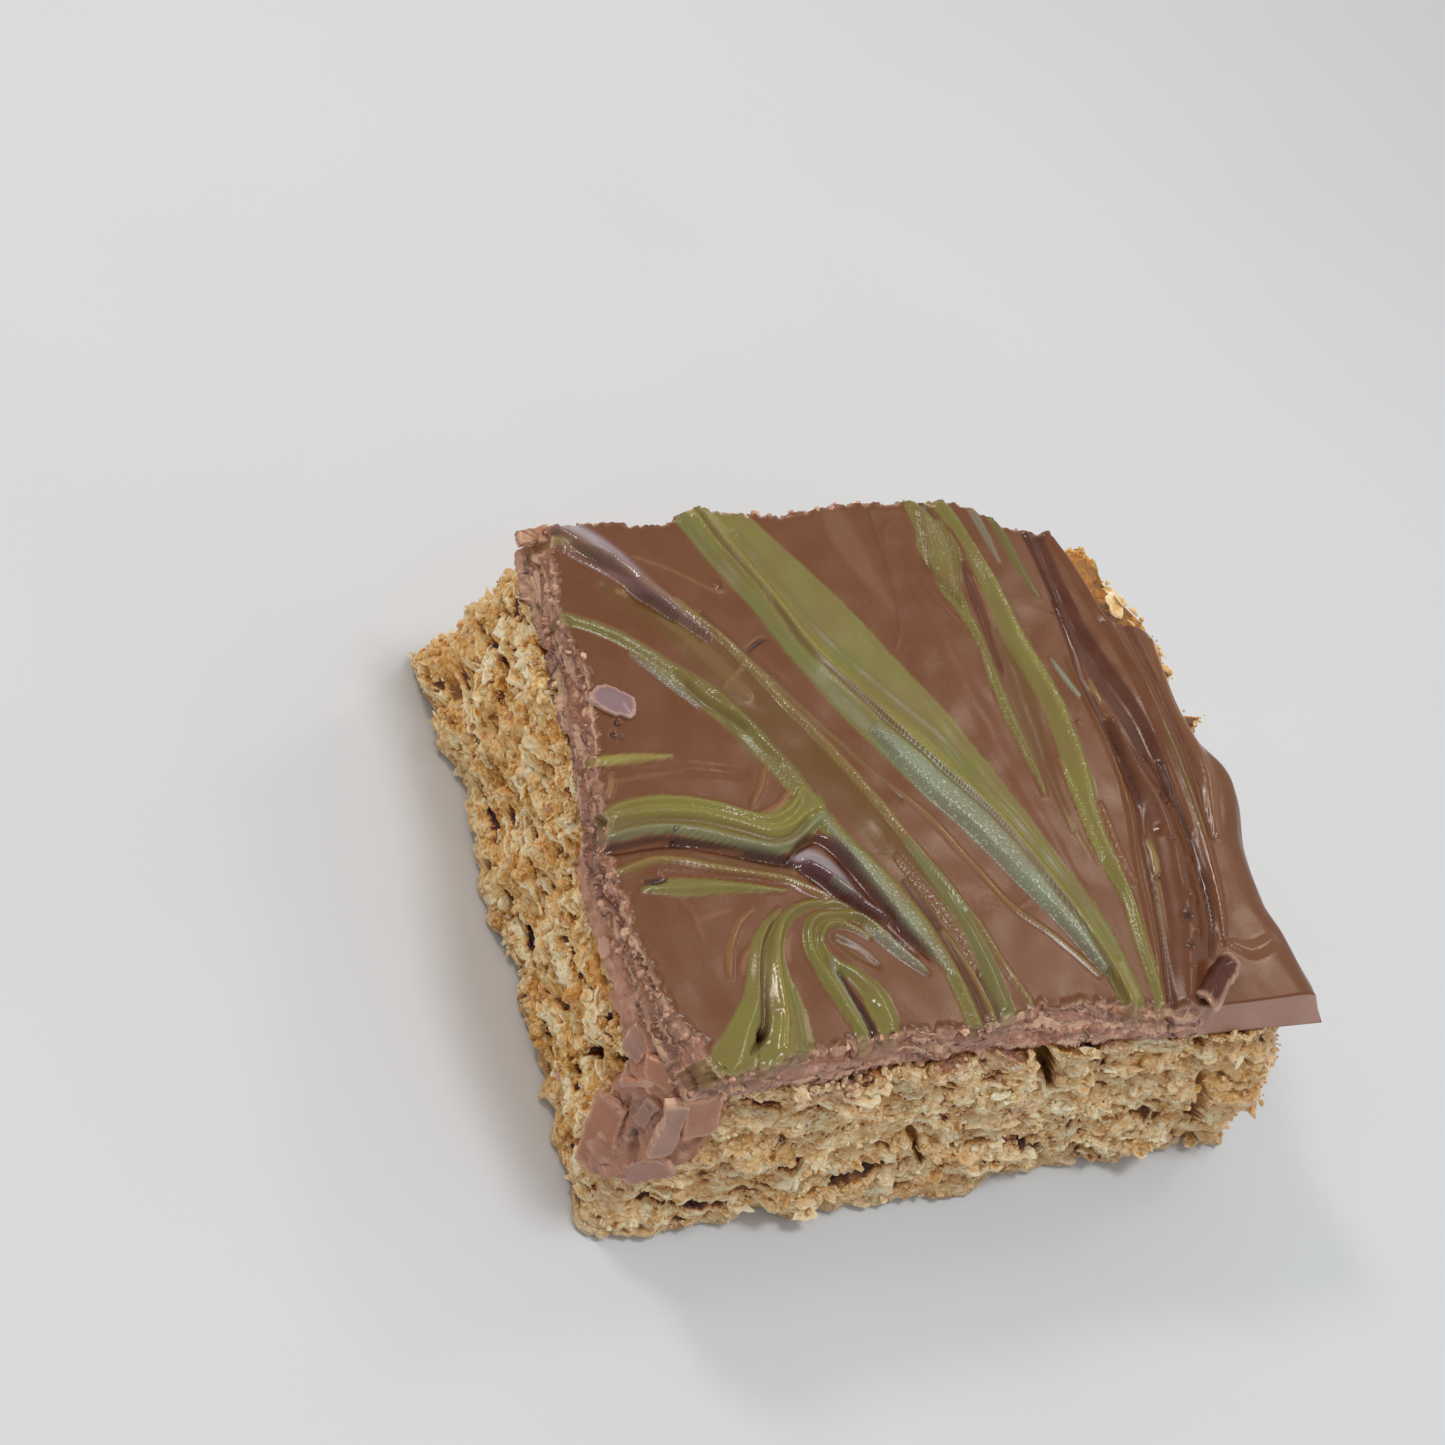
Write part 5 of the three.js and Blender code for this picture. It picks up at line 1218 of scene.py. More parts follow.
SIDE_STROKES = [
    crevice((2.8, 18.6, 0.7), (4.6, 18.2, 1.4), (6.8, 17.6, 1.5), (9.6, 17, 0.8), (11, 16.8, 0.4)),
    crevice((11.6, 17.2, 0.5), (13.4, 16.6, 1.1), (15.2, 15.8, 1.0), (17.4, 15, 0.4), depth=2.2),
    crevice((17, 17.8, 0.5), (20, 18, 1.2), (23.4, 18.6, 1.1), (26, 19.2, 0.4)),
    crevice((34.4, 20.9, 0.6), (36.4, 18.8, 1.3), (38.4, 16.2, 1.0), (39.6, 14.6, 0.4), depth=2.8),
    crevice((20.6, 4.6, 0.4), (24.5, 5.6, 1.0), (28, 6.4, 0.4), depth=2.0),
    crevice((26.4, 10.4, 0.4), (28, 8.2, 0.8), (29.6, 6.2, 0.4), depth=1.8),
    crevice((29.6, 10.6, 0.4), (33.2, 9.4, 0.9), (37.4, 8.6, 0.4), depth=2.0),
    crevice((44, 15.8, 0.4), (48.6, 14.4, 0.8), (52, 13.2, 0.4), depth=1.7),
    crevice((40.4, 6.2, 0.4), (43, 4.6, 0.8), (45.4, 3, 0.4), depth=1.5),
    crevice((12, 7.4, 0.4), (15, 7.2, 0.9), (18.4, 8.6, 0.4), depth=1.8),
    crevice((1.6, 5, 0.4), (6, 3.6, 0.8), (10.6, 2.8, 0.4), depth=1.7),
    crevice((58, 13.4, 0.5), (60.2, 8.2, 1.1), (62.6, 3.6, 0.6), depth=2.4),
    crevice((46, 20.2, 0.4), (50.6, 19.4, 0.9), (54.6, 19.2, 0.5), depth=1.8),
    crevice((52, 8.4, 0.4), (55, 7.4, 0.8), (57.6, 7.6, 0.4), depth=1.6),
    crevice((-9.8, 8, 0.4), (-8.6, 10, 0.9), (-8.4, 12, 0.5), depth=1.8),
    crevice((-19.4, 8.4, 0.4), (-16.6, 9.2, 1.1), (-14, 9, 0.5), depth=2.2),
    crevice((-24, 17.2, 0.4), (-21.2, 17.4, 0.9), (-18.6, 17, 0.4), depth=1.9),
    crevice((-32.4, 17.6, 0.5), (-29.4, 17, 1.1), (-27, 16.6, 0.5), depth=2.2),
    crevice((-26, 3, 0.4), (-23.2, 3.8, 1.0), (-20.4, 3.4, 0.5), depth=2.0),
    crevice((-47.4, 13.4, 0.5), (-45.4, 14.6, 1.1), (-43, 15, 0.5), depth=2.4),
    crevice((-36.6, 9.6, 0.4), (-33.8, 8, 0.8), (-31.6, 6, 0.4), depth=1.7),
    ledge((3, 20.6, 0.8), (8, 20, 1.4), (12.4, 19.4, 1.4), (17.6, 19.6, 0.9), rise=1.2),
    ledge((17, 20.4, 0.7), (21, 20.4, 1.2), (26, 20.8, 0.6), rise=1.0),
    ledge((18.6, 6.9, 0.5), (23.6, 7.6, 1.0), (28, 9.6, 0.5)),
    ledge((29, 12.2, 0.5), (33, 11.2, 1.0), (38, 10.4, 0.5), rise=0.7),
    ledge((8, 12.4, 1.2), (13, 11.4, 2.2), (17.4, 10, 1.2), rise=0.6),
    ledge((-20, 11, 0.5), (-16.6, 10.8, 1.0), (-13.6, 10.6, 0.5), rise=0.7),
    ledge((-33, 19.2, 0.5), (-29.4, 18.8, 0.9), (-26.6, 18.2, 0.5), rise=0.7),
]


def blurred(field, across, up):
    """A field that runs round the piece, averaged over this many cells to each side and up and down."""
    wide = sum(np.roll(field, k, axis=1) for k in range(-across, across + 1)) / (2 * across + 1)
    rows = np.arange(len(field))
    return sum(wide[np.clip(rows + k, 0, len(field) - 1)] for k in range(-up, up + 1)) / (2 * up + 1)


def paste(places):
    """Where the oats are bound in smooth syrup, from 0 to 1."""
    waves = grain(np.asarray(places) + PASTE["apart"], PASTE["cell"])
    return smooth(PASTE["share"] + PASTE["contrast"] * waves)


def strata(places, thick, run, reach, overhang):
    """Relief of flat layers, each with a reach of its own and a jagged foot that overhangs the layer below it
    here and there. Also how pale each layer is."""
    z = places[..., 2] + grain.layered(places, JAGS)
    level = z / thick + STRATA_WARP["depth"] * grain(places, STRATA_WARP["cell"])
    layer = np.floor(level)
    part = level - layer
    at = np.stack([places[..., 0] / run, places[..., 1] / run, layer * LAYERS_APART + thick], -1)
    out = grain(at, 1) + 0.4 * grain(at * [3.1, 3.1, 1], 1)
    shelf = smooth(0.45 + 1.5 * grain(at + SHELVES_APART, 1))
    profile = smooth(part * thick / OVERHANG_LIP) * (1 - smooth(part * 1.1 - 0.1)) - 0.4
    return reach * out + overhang * shelf * profile, grain(at + TONES_APART, 1)


class OatSides:
    """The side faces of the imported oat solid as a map: how far out they reach, round the piece and up it."""

    MIDDLE = np.array([1.5, 1.0])
    HALF = np.array([35.5, 29.0])
    ROUND = 14.0
    AWAY = 25
    CELL = 0.25
    LOW = 0.45
    START = 225  # the near left corner, in degrees
    LEVEL_BLUR, BROAD_BLUR, FOOT_BLUR = (11, 8), (3, 2), (2, 7)  # cells across, cells up

    def __init__(self):
        straight = 2 * (self.HALF - self.ROUND)
        arc = math.pi / 2 * self.ROUND
        self.runs = [arc / 2, straight[0], arc, straight[1], arc, straight[0], arc, straight[1], arc / 2]
        self.length = sum(self.runs)
        self.count = int(self.length / self.CELL)
        self.step = self.length / self.count
        self.heights = np.arange(self.LOW, OAT_TOP, self.CELL)
        self.distance = np.arange(self.count) * self.step
        self.start, self.out = (np.array(part) for part in zip(*[self.ray(d) for d in self.distance]))
        packed = self.measured()
        self.level = blurred(packed, *self.LEVEL_BLUR)
        self.weather(packed)

    def ray(self, distance):
        """Where a ray starts and the way it faces, a distance round from the near left corner."""
        left = distance % self.length
        turn = math.radians(self.START)
        corner = -(self.HALF - self.ROUND)
        for k, run in enumerate(self.runs):
            step = min(left, run)
            if k % 2:
                corner = corner + step * np.array([-math.sin(turn), math.cos(turn)])
            else:
                turn += step / self.ROUND
            left -= step
            if left <= 0:
                break
        out = np.array([math.cos(turn), math.sin(turn)])
        return self.MIDDLE + corner + self.ROUND * out, out

    def measured(self):
        """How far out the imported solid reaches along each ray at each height."""
        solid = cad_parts["oat_base"]
        places = [solid.matrix_world @ v.co / MM for v in solid.data.vertices]
        tree = BVHTree.FromPolygons(places, [tuple(p.vertices) for p in solid.data.polygons])
        return np.array([[self.hit(tree, start, out, z) for start, out in zip(self.start, self.out)]
                         for z in self.heights])

    def hit(self, tree, start, out, z):
        origin = Vector((*(start + self.AWAY * out), min(z, OAT_HEIGHT - 0.3)))
        return self.AWAY - tree.ray_cast(origin, Vector((-out[0], -out[1], 0)))[3]

    def weather(self, packed):
        """The surface of the oats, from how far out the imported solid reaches."""
        z = self.heights[:, None]
        signed = self.signed(self.distance)[None]
        around, up = (part.ravel() for part in np.broadcast_arrays(signed, z))
        broad = mix(blurred(packed, *self.FOOT_BLUR), blurred(packed, *self.BROAD_BLUR), smooth(z / 2.5))
        plain = self.places(np.arange(self.count)[None], broad, z)
        jagged_up = up + grain.layered(plain, JAGS).ravel()
        self.marks = Drawing(around, jagged_up, "torn", SIDE_STROKES).height.reshape(packed.shape)
        layers = [strata(plain, *one) for one in STRATA]
        relief = sum(part for part, _ in layers) + CORE["lump"] * grain(plain, CORE["lump_cell"])
        crumbly = (1 - 0.7 * paste(plain)) * smooth(1 + 0.5 * self.marks)
        for cell, depth in CRUMBS:
            relief = relief + depth * crumbly * grain.beads(plain, cell)
        bare = 1 - 0.8 * smear_cover(signed, z)
        relief = relief * mix(CORE["foot"], 1, smooth(z / 2)) * bare + self.marks
        self.reach = broad + relief - CORE["sunk"]
        self.pale = sum(STRATA_PALE * pale for _, pale in layers)

    def places(self, column, reach, z):
        """Points at columns of the map, this far out along their rays."""
        plan = self.start[column] + self.out[column] * reach[..., None]
        return np.concatenate([plan, np.broadcast_to(z, reach.shape)[..., None]], -1)

    def row_at(self, z):
        return np.clip(np.round((z - self.LOW) / self.CELL).astype(int), 0, len(self.heights) - 1)

    def signed(self, distance):
        """Distance round from the near left corner, negative along the left side."""
        return np.where(distance > self.length / 2, distance - self.length, distance)

    def spots(self, count, rng, low=0.6, high=OAT_TOP + 0.4):
        """Random places on the sides, clear of the smear and of open fissures, and the way they face."""
        column = rng.integers(self.count, size=4 * count)
        z = rng.uniform(low, high, 4 * count)
        row = self.row_at(z)
        shown = rng.random(4 * count) > smear_cover(self.signed(self.distance[column]), z)
        shown &= self.level[row, column] - self.reach[row, column] < FISSURE
        shown &= self.marks[row, column] > MARKED
        column, row, z = (part[shown][:count] for part in (column, row, z))
        outs = np.column_stack([self.out[column], np.zeros(count)])
        return self.places(column, self.reach[row, column], z), outs


# Chocolate: the smear at the near left corner, and crumbs

SMEAR_OUTLINE = [  # corners, (distance round the near left corner, height)
    (-24, 18.8), (-18, 17.2), (-14, 17.4), (-7, 17.2), (-5.2, 16.2), (-4.9, 13.6), (-4.3, 9), (-3.6, 6.4),
    (-2.6, 4.8), (-1.2, 5.8), (0.8, 7.6), (2.6, 9.8), (3.7, 12), (3.9, 14.5), (3.4, 17), (3, 20), (2.6, 26),
    (-24, 26),
]
SMEAR = {"depth": 1.45, "foot": 1.2, "top": 22.6, "sunk": 1.4, "tuck": 1.4, "fray": 0.8, "least": 0.02}
SMEAR_STROKES = [  # paths of (distance round, height, half width)
    stroke("cut", 0.5, 0.5, soft=1.4, path=[
        (-4.4, 14.6, 1.2), (-3.4, 11, 1.9), (-2, 7.6, 1.9), (-0.8, 4.6, 1.2)]),
    stroke("peach", 0.5, 0.55, soft=0.4, path=[
        (-6, 16.4, 0.25), (-4.4, 16.9, 0.4), (-2.8, 18, 0.45), (-1.4, 19.8, 0.3)]),
    # A pale lilac patch: a painted highlight
    stroke("lilac_and_sheen", 0.9, 0.35, soft=0.5, gloss=1.0, path=[
        (-1.7, 16.4, 0.6), (-1.6, 15, 0.9), (-1.3, 13.8, 0.5)]),
    # A dark crack in the smear: painted shade in a real dent
    stroke("deep", 1, -1.1, soft=0.25, path=[
        (-1.3, 12.6, 0.25), (-0.9, 11.6, 0.45), (-0.4, 10.6, 0.35), (-0.1, 9.8, 0.15)]),
    stroke("dark", 0.6, -0.4, soft=0.4, path=[(-3, 14.6, 0.3), (-2.6, 13, 0.4), (-2.3, 11.4, 0.25)]),
    stroke("smeared", 0.6, 0.45, soft=0.5, path=[
        (0.8, 13, 0.6), (0.6, 10.8, 0.8), (-0.2, 8.6, 0.7), (-1, 6.8, 0.4)]),
    stroke("rosy", 0.3, 0.35, soft=0.6, path=[
        (3.4, 14.8, 0.5), (2.2, 11.6, 0.8), (0.6, 8, 0.7), (-0.6, 5.6, 0.4)]),
    stroke("dark", 0.5, -0.35, path=[(2.2, 13.6, 0.3), (1.6, 10.4, 0.3), (0.2, 7.2, 0.2)]),
    stroke("crumb", 0.5, -0.3, soft=0.4, path=[
        (-3.4, 6.2, 0.2), (-1.8, 4.4, 0.3), (0.4, 5.8, 0.3), (2, 7.2, 0.2)]),
]


def smear_cover(distance, z, soft=0.6):
    """How fully the smear at the near left corner hides the side, from 0 to 1."""
    distance, z = np.broadcast_arrays(distance, z)
    gap = np.full(distance.shape, np.inf)
    inside = np.zeros(distance.shape, bool)
    for (x, y), (next_x, next_y) in zip(SMEAR_OUTLINE, SMEAR_OUTLINE[1:] + SMEAR_OUTLINE[:1]):
        run, rise = next_x - x, next_y - y
        along = np.clip(((distance - x) * run + (z - y) * rise) / (run ** 2 + rise ** 2), 0, 1)
        gap = np.minimum(gap, np.hypot(distance - x - along * run, z - y - along * rise))
        crossed = (y > z) != (next_y > z)
        inside ^= crossed & (distance < x + run * (z - y) / (rise or 1))
    return smooth(0.5 + np.where(inside, gap, -gap) / (2 * soft))


def smear_field(sides):
    """The patch of the sides that the smear may cover: the distance, height and column of each place."""
    first, last = min(SMEAR_OUTLINE)[0] - 2, max(SMEAR_OUTLINE)[0] + 2
    column = np.arange(int(first / sides.step), int(last / sides.step))
    heights = np.arange(SMEAR["foot"], SMEAR["top"], sides.CELL)
    distance, z = (part.ravel() for part in np.meshgrid(column * sides.step, heights))
    return distance, z, np.tile(column % sides.count, len(heights)), len(heights)


def chocolate_smear(sides, material):
    distance, z, spot, rows = smear_field(sides)
    flat = sides.places(spot, sides.level[sides.row_at(z), spot], z)
    drawn = Drawing(distance, z, "smeared", SMEAR_STROKES)
    fray = SMEAR["fray"] * (0.7 * grain(flat, 1.8) + 0.5 * grain.chips(flat, 0.9))
    cover = smear_cover(distance + fray, z + fray)
    coarse, fine = grain.chips(flat, (1.7, 1.7, 2.4)), grain.chips(flat, 0.7)
    broken = 0.22 * coarse + 0.13 * fine + 0.05 * grain(flat, 0.35)
    tuck = SMEAR["tuck"] * smooth((z - OAT_HEIGHT) / (SMEAR["top"] - OAT_HEIGHT))
    proud = mix(-SMEAR["sunk"], SMEAR["depth"] + broken + drawn.height, cover) - tuck
    flat[:, :2] += sides.out[spot] * proud[:, None]
    blend = smooth(0.5 + 0.7 * grain(flat, (2.6, 2.6, 2)))[:, None]
    torn = np.clip(0.25 + 0.35 * grain(flat, 1.3), 0.05, 0.6) * (1 - drawn.gloss)
    values = {"tone": mix(drawn.tone, TINTS["torn"], 0.5 * blend), "torn": torn,
              "gloss": 0.2 + 0.8 * drawn.gloss, "comb": np.zeros(len(flat))}
    faces = grid_faces(np.arange(len(flat)).reshape(rows, -1))
    kept, faces = np.unique(faces[(cover[faces] > SMEAR["least"]).any(axis=1)], return_inverse=True)
    values = {key: part[kept] for key, part in values.items()}
    piece = add_mesh("chocolate_smear", flat[kept], faces.reshape(-1, 3), material, values)


CRUMB = {"count": 800, "fallen": 150, "room": 0.1, "reach": 3.4, "stray": 0.25, "least": 0.1, "size": 0.32,
         "chip": 0.35, "torn": 0.2}


def crumb_spots(edge, torn, sides, rng):
    """Places on the torn edge and a few on the oats beneath, and the height that each crumb stays under."""
    torn_edge = edge[np.flatnonzero(torn > 0.9)]
    count = CRUMB["count"]
    spots = torn_edge[rng.integers(len(torn_edge), size=count)]
    limit = spots[:, 2:] + CRUMB["room"]
    spots = (spots - [0, 0, 1] * rng.uniform(0.1, CRUMB["reach"], (count, 1))
             + rng.normal(0, CRUMB["stray"], (count, 3)) * [1, 1, 0])
    fallen, _ = sides.spots(CRUMB["fallen"], rng, 2)
    return np.vstack([spots, fallen]), np.vstack([limit, np.full((len(fallen), 1), TOP_HEIGHT)])


def anyhow(shapes, rng):
    """Shapes turned every way."""
    count = len(shapes)
    return turned(shapes, rng.normal(size=(count, 3)), rng.normal(size=(count, 3)))


def apart(count, rng):
    """Places far apart in the noise, so that each of many shapes is broken in its own way."""
    return rng.uniform(-50, 50, (count, 1, 3))


def chocolate_crumbs(edge, torn, sides, rng, material):
    """Crumbs on the torn edges of the chocolate and a few caught on the oats beneath."""
    places, faces = ball(2)
    spots, limit = crumb_spots(edge, torn, sides, rng)
    count = len(spots)
    size = rng.uniform(0, 1, (count, 1, 1)) ** 2 * CRUMB["size"] + CRUMB["least"]
    shapes = places[None] * size * rng.uniform(0.5, 1.3, (count, 1, 3))
    shapes *= (1 + CRUMB["chip"] * grain.chips(shapes + apart(count, rng), size))[..., None]
    shapes = anyhow(shapes, rng) + spots[:, None]
    shapes[..., 2] = np.minimum(shapes[..., 2], limit)
    share = rng.uniform(0, 1, (count, 1, 1)) ** 2
    tone = np.broadcast_to(mix(TINTS["torn"], TINTS["crumb"], share), shapes.shape)
    blank = np.zeros(shapes.shape[:2])
    values = {"tone": tone, "torn": blank + CRUMB["torn"], "gloss": blank, "comb": blank}
    add_many("chocolate_crumbs", shapes, faces, values, material)


# Oats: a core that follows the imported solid, with flakes, lumps and grit baked onto it

CLOSING = (0.985, 0.95, 0.88, 0.76, 0.6, 0.4, 0.2)
UNDERSIDE = 0.02

# Patches of the oats in a colour of their own: place and radius
SYRUP = [
    (-22.3, -27.5, 13.5, 3), (31, -26, 12, 7.5), (36.5, -25.5, 2, 3.6), (-33, -10, 14.5, 3),
    (-33, 13.7, 18.6, 1.8), (-33, 27.5, 7, 5), (-33, -12, 9.9, 2.4), (-8, -27, 6, 1.8), (27, 25, 19, 6),
    (34, 12, 14, 5), (10, 29, 8, 5),
]
STAIN = [
    (-20.3, -26.4, 19.4, 1.8), (-16.7, -26, 20, 2), (-0.6, -25.6, 20.4, 2.2), (6, -27, 12.7, 1.8),
    (-5.5, -25.6, 20, 2), (-32.4, -18, 20, 2), (-32, -27, 4.6, 1.8), (12, -25.4, 20, 2),
    (20, -25.4, 20.6, 1.6),
]


def near_patch(places, patches):
    """How fully places lie in one of these patches, from 0 to 1."""
    share = np.zeros(places.shape[:-1])
    for *middle, radius in patches:
        share = np.maximum(share, smooth(1.4 - np.linalg.norm(places - middle, axis=-1) / radius))
    return share


def oat_values(places, hue, rim, pit_shade, shape):
    """The attributes of the oat material, spread over points of this shape."""
    syrup = np.maximum(near_patch(places, SYRUP), 0.7 * paste(places))
    values = {"hue": hue, "rim": rim, "pit_shade": pit_shade, "syrup": syrup, "stain": near_patch(places, STAIN)}
    return {name: np.broadcast_to(part, shape) for name, part in values.items()}


def closing(sides, ring, z):
    """Rings that shrink from a ring towards the middle, slightly uneven."""
    rings = []
    for share in CLOSING:
        spots = at_height(sides.MIDDLE + (ring[:, :2] - sides.MIDDLE) * share, z)
        spots[:, 2] += 0.12 * (1 + grain(spots, 2.2))
        rings.append(spots)
    return rings


def core_rings(sides, proud):
    """Rings of the core from the middle of its underside, up its sides, to the middle of its top. What stands
    proud droops."""
    z = sides.heights[:, None]
    droop = CORE["droop"] * np.maximum(proud, 0) * smooth(z / 2) * smooth((OAT_TOP - z) / 1.5)
    places = sides.places(np.arange(sides.count)[None], sides.reach, np.maximum(z - droop, 0.1))
    lower = closing(sides, places[0], UNDERSIDE)
    upper = closing(sides, places[-1], OAT_TOP - 0.3)
    lower[0][:, 2] += 0.2
    return np.array([*lower[::-1], *places, *upper])


def core_shades(sides, proud):
    """How deep each place of the core's sides lies in the pits, which paints shade there, and how far out on a
    rim.
    """
    fringe = sides.reach - blurred(sides.reach, 3, 3)
    pit_shade = smooth(-0.6 * proud - 0.5) + 0.9 * smooth(-fringe / 0.42 - 0.05) + smooth(-1.3 * sides.marks - 0.1)
    return pit_shade.ravel(), smooth(fringe / 0.4).ravel()


def oat_core(sides, material):
    proud = sides.reach - sides.level
    stack = core_rings(sides, proud)
    count = stack.shape[0] * sides.count
    index = closed(np.arange(count).reshape(stack.shape[0], sides.count))
    ends = np.array([[*sides.MIDDLE, UNDERSIDE], [*sides.MIDDLE, OAT_TOP - 0.2]])
    everywhere = np.vstack([stack.reshape(-1, 3), ends])
    faces = np.vstack([grid_faces(index), fan_faces(index[0, :-1][::-1], count),
                       fan_faces(index[-1, :-1], count + 1)])
    margin = len(CLOSING) * sides.count
    pit_shade, rim = core_shades(sides, proud)
    # The underside and the top under the chocolate get some painted shade too
    pit_shade = np.concatenate([np.full(margin, 0.2), pit_shade, np.full(margin + 2, 0.5)])
    rim = np.concatenate([np.full(margin, 0.2), rim, np.full(margin + 2, 0.2)])
    hue = 0.5 + 0.35 * grain(everywhere, 3.2)
    hue[margin:margin + sides.pale.size] += sides.pale.ravel()
    values = oat_values(everywhere, hue, rim, np.clip(pit_shade, 0, 1), len(everywhere))
    piece = add_mesh("oat_core", everywhere, faces, material, values)
    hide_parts("oat_base")


FLAKE_ROWS = [(0.82, -0.5), (1, -0.1), (0.93, 0.5), (0.5, 0.55)]
# Proud is the range of how far from the surface, and radius and thick are ranges of size
FLAKES = {"count": 420, "segments": 18, "radius": (0.8, 1.7), "thick": (0.22, 0.4), "proud": (-1.0, -0.3)}
SCRAPS = {"count": 1400, "segments": 9, "radius": (0.3, 0.75), "thick": (0.15, 0.28), "proud": (-0.4, 0.0)}
LUMPS = {"count": 1400, "levels": 2, "radius": (0.22, 0.75), "proud": (-0.4, 0.0), "left_share": 1.0}
GRIT = {"count": 8500, "levels": 1, "radius": (0.12, 0.3), "proud": (-0.12, 0.1), "left_share": 0.0}


def flake_shapes(count, rng, segments, radius, thick):
    """Many flakes of jagged outline lying flat at the origin."""
    angle = np.arange(segments) / segments * 2 * math.pi
    phase = rng.uniform(0, 2 * math.pi, (count, 2, 1))
    size = mix(*radius, rng.uniform(0, 1, (count, 1)) ** 1.5)
    reach = size * (1 + 0.14 * np.cos(2 * angle + phase[:, 0]) + 0.12 * np.cos(3 * angle + phase[:, 1])
                    + 0.17 * rng.normal(size=(count, segments)))
    long = rng.uniform(1.15, 1.6, (count, 1))
    outline = np.dstack([reach * np.cos(angle) * long, reach * np.sin(angle) / long])
    shapes, rim = slabs(outline, rng.uniform(*thick, (count, 1)), FLAKE_ROWS)
    shapes[..., 2] += 0.16 * grain(shapes + apart(count, rng), 1.1)
    return shapes, rim


def oat_hues(spots, rng):
    return 0.5 + 0.25 * grain(spots, 4.5) + 0.28 * rng.normal(size=len(spots))


def oat_flakes(name, sides, rng, material, count, segments, radius, thick, proud):
    """Flakes that lie nearly flat, more loosely on the left side."""
    spots, outs = sides.spots(count, rng)
    shapes, rim = flake_shapes(count, rng, segments, radius, thick)
    loose = 0.1 + 0.3 * np.clip(-outs[:, :1], 0, 1)
    upright = np.array([0, 0, 1.0]) + outs * rng.uniform(-0.1, 0.3, (count, 1))
    normal = upright + loose * rng.normal(size=(count, 3))
    along = np.column_stack([-outs[:, 1], outs[:, 0], np.zeros(count)])
    heading = along + 0.45 * rng.normal(size=(count, 3)) * [1, 1, 0.4]
    centre = spots + outs * rng.uniform(*proud, (count, 1))
    shapes = turned(shapes, normal, heading) + centre[:, None]
    values = oat_values(centre[:, None], oat_hues(centre, rng)[:, None], 0.15 + 0.85 * rim, 0, rim.shape)
    add_many(name, shapes, slab_faces(segments, len(FLAKE_ROWS)), values, material)


def oat_lumps(name, sides, rng, material, count, levels, radius, proud, left_share):
    """Angular crumbs, more of them on the left side by left_share."""
    spots, outs = sides.spots(count * 2, rng)
    wanted = np.argsort(left_share * outs[:, 0] - rng.random(len(outs)))[:count]
    spots, outs = spots[wanted], outs[wanted]
    places, faces = ball(levels)
    size = mix(*radius, rng.uniform(0, 1, (count, 1, 1)) ** 1.8)
    shapes = places[None] * size * rng.uniform(0.6, 1.25, (count, 1, 3))
    bumps = shapes + apart(count, rng)
    shapes *= (1 + 0.25 * grain.chips(bumps, size) + 0.3 * grain(bumps, size * 1.1))[..., None]
    shapes = anyhow(shapes, rng)
    centre = spots + outs * rng.uniform(*proud, (count, 1))
    pale = rng.uniform(0.0, 0.8, (count, 1))
    values = oat_values(centre[:, None], oat_hues(centre, rng)[:, None], pale, 0, shapes.shape[:2])
    add_many(name, shapes + centre[:, None], faces, values, material)


OAT_COLOURS = [(0.0, "#4a220a"), (0.13, "#8a4e1f"), (0.3, "#b98c50"), (0.5, "#d6b17a"), (0.72, "#e8d0a8"),
               (1.0, "#f6e6c8")]
AMBER = paint("#cb9242", OAT_LIGHT)
STAINED = paint("#b08068", OAT_LIGHT)
NEAR_GREY = paint("#bcab92", OAT_LIGHT)
FOOT = paint("#9c8466", OAT_LIGHT)
OAT_SCATTER = {"weight": 0.4, "radius": (0.5, 0.45, 0.42), "scale": 0.3}


def oat_share(wiring, blotch, fine, speck, level, edge):
    """Where on the range of oat colours a place is, from browned to a pale rim. Deep in pits and in the
    creases between crumbs it is darker: painted shade.
    """
    hue, rim, pit_shade = (wiring.value_of(name) for name in ("hue", "rim", "pit_shade"))
    return wiring.total(
        (hue, 0.42), (fine, 0.44), (level, 0.24), (wiring.between(edge, 0.0, 0.12, 0.14, 0.02), -1.0),
        (rim, 0.3), (pit_shade, -0.9), (wiring.between(blotch, 0.42, 0.7, 0.0, 0.22), -1.0),
        (wiring.between(speck, 0.56, 0.7, 0.0, 0.25), 1.0))


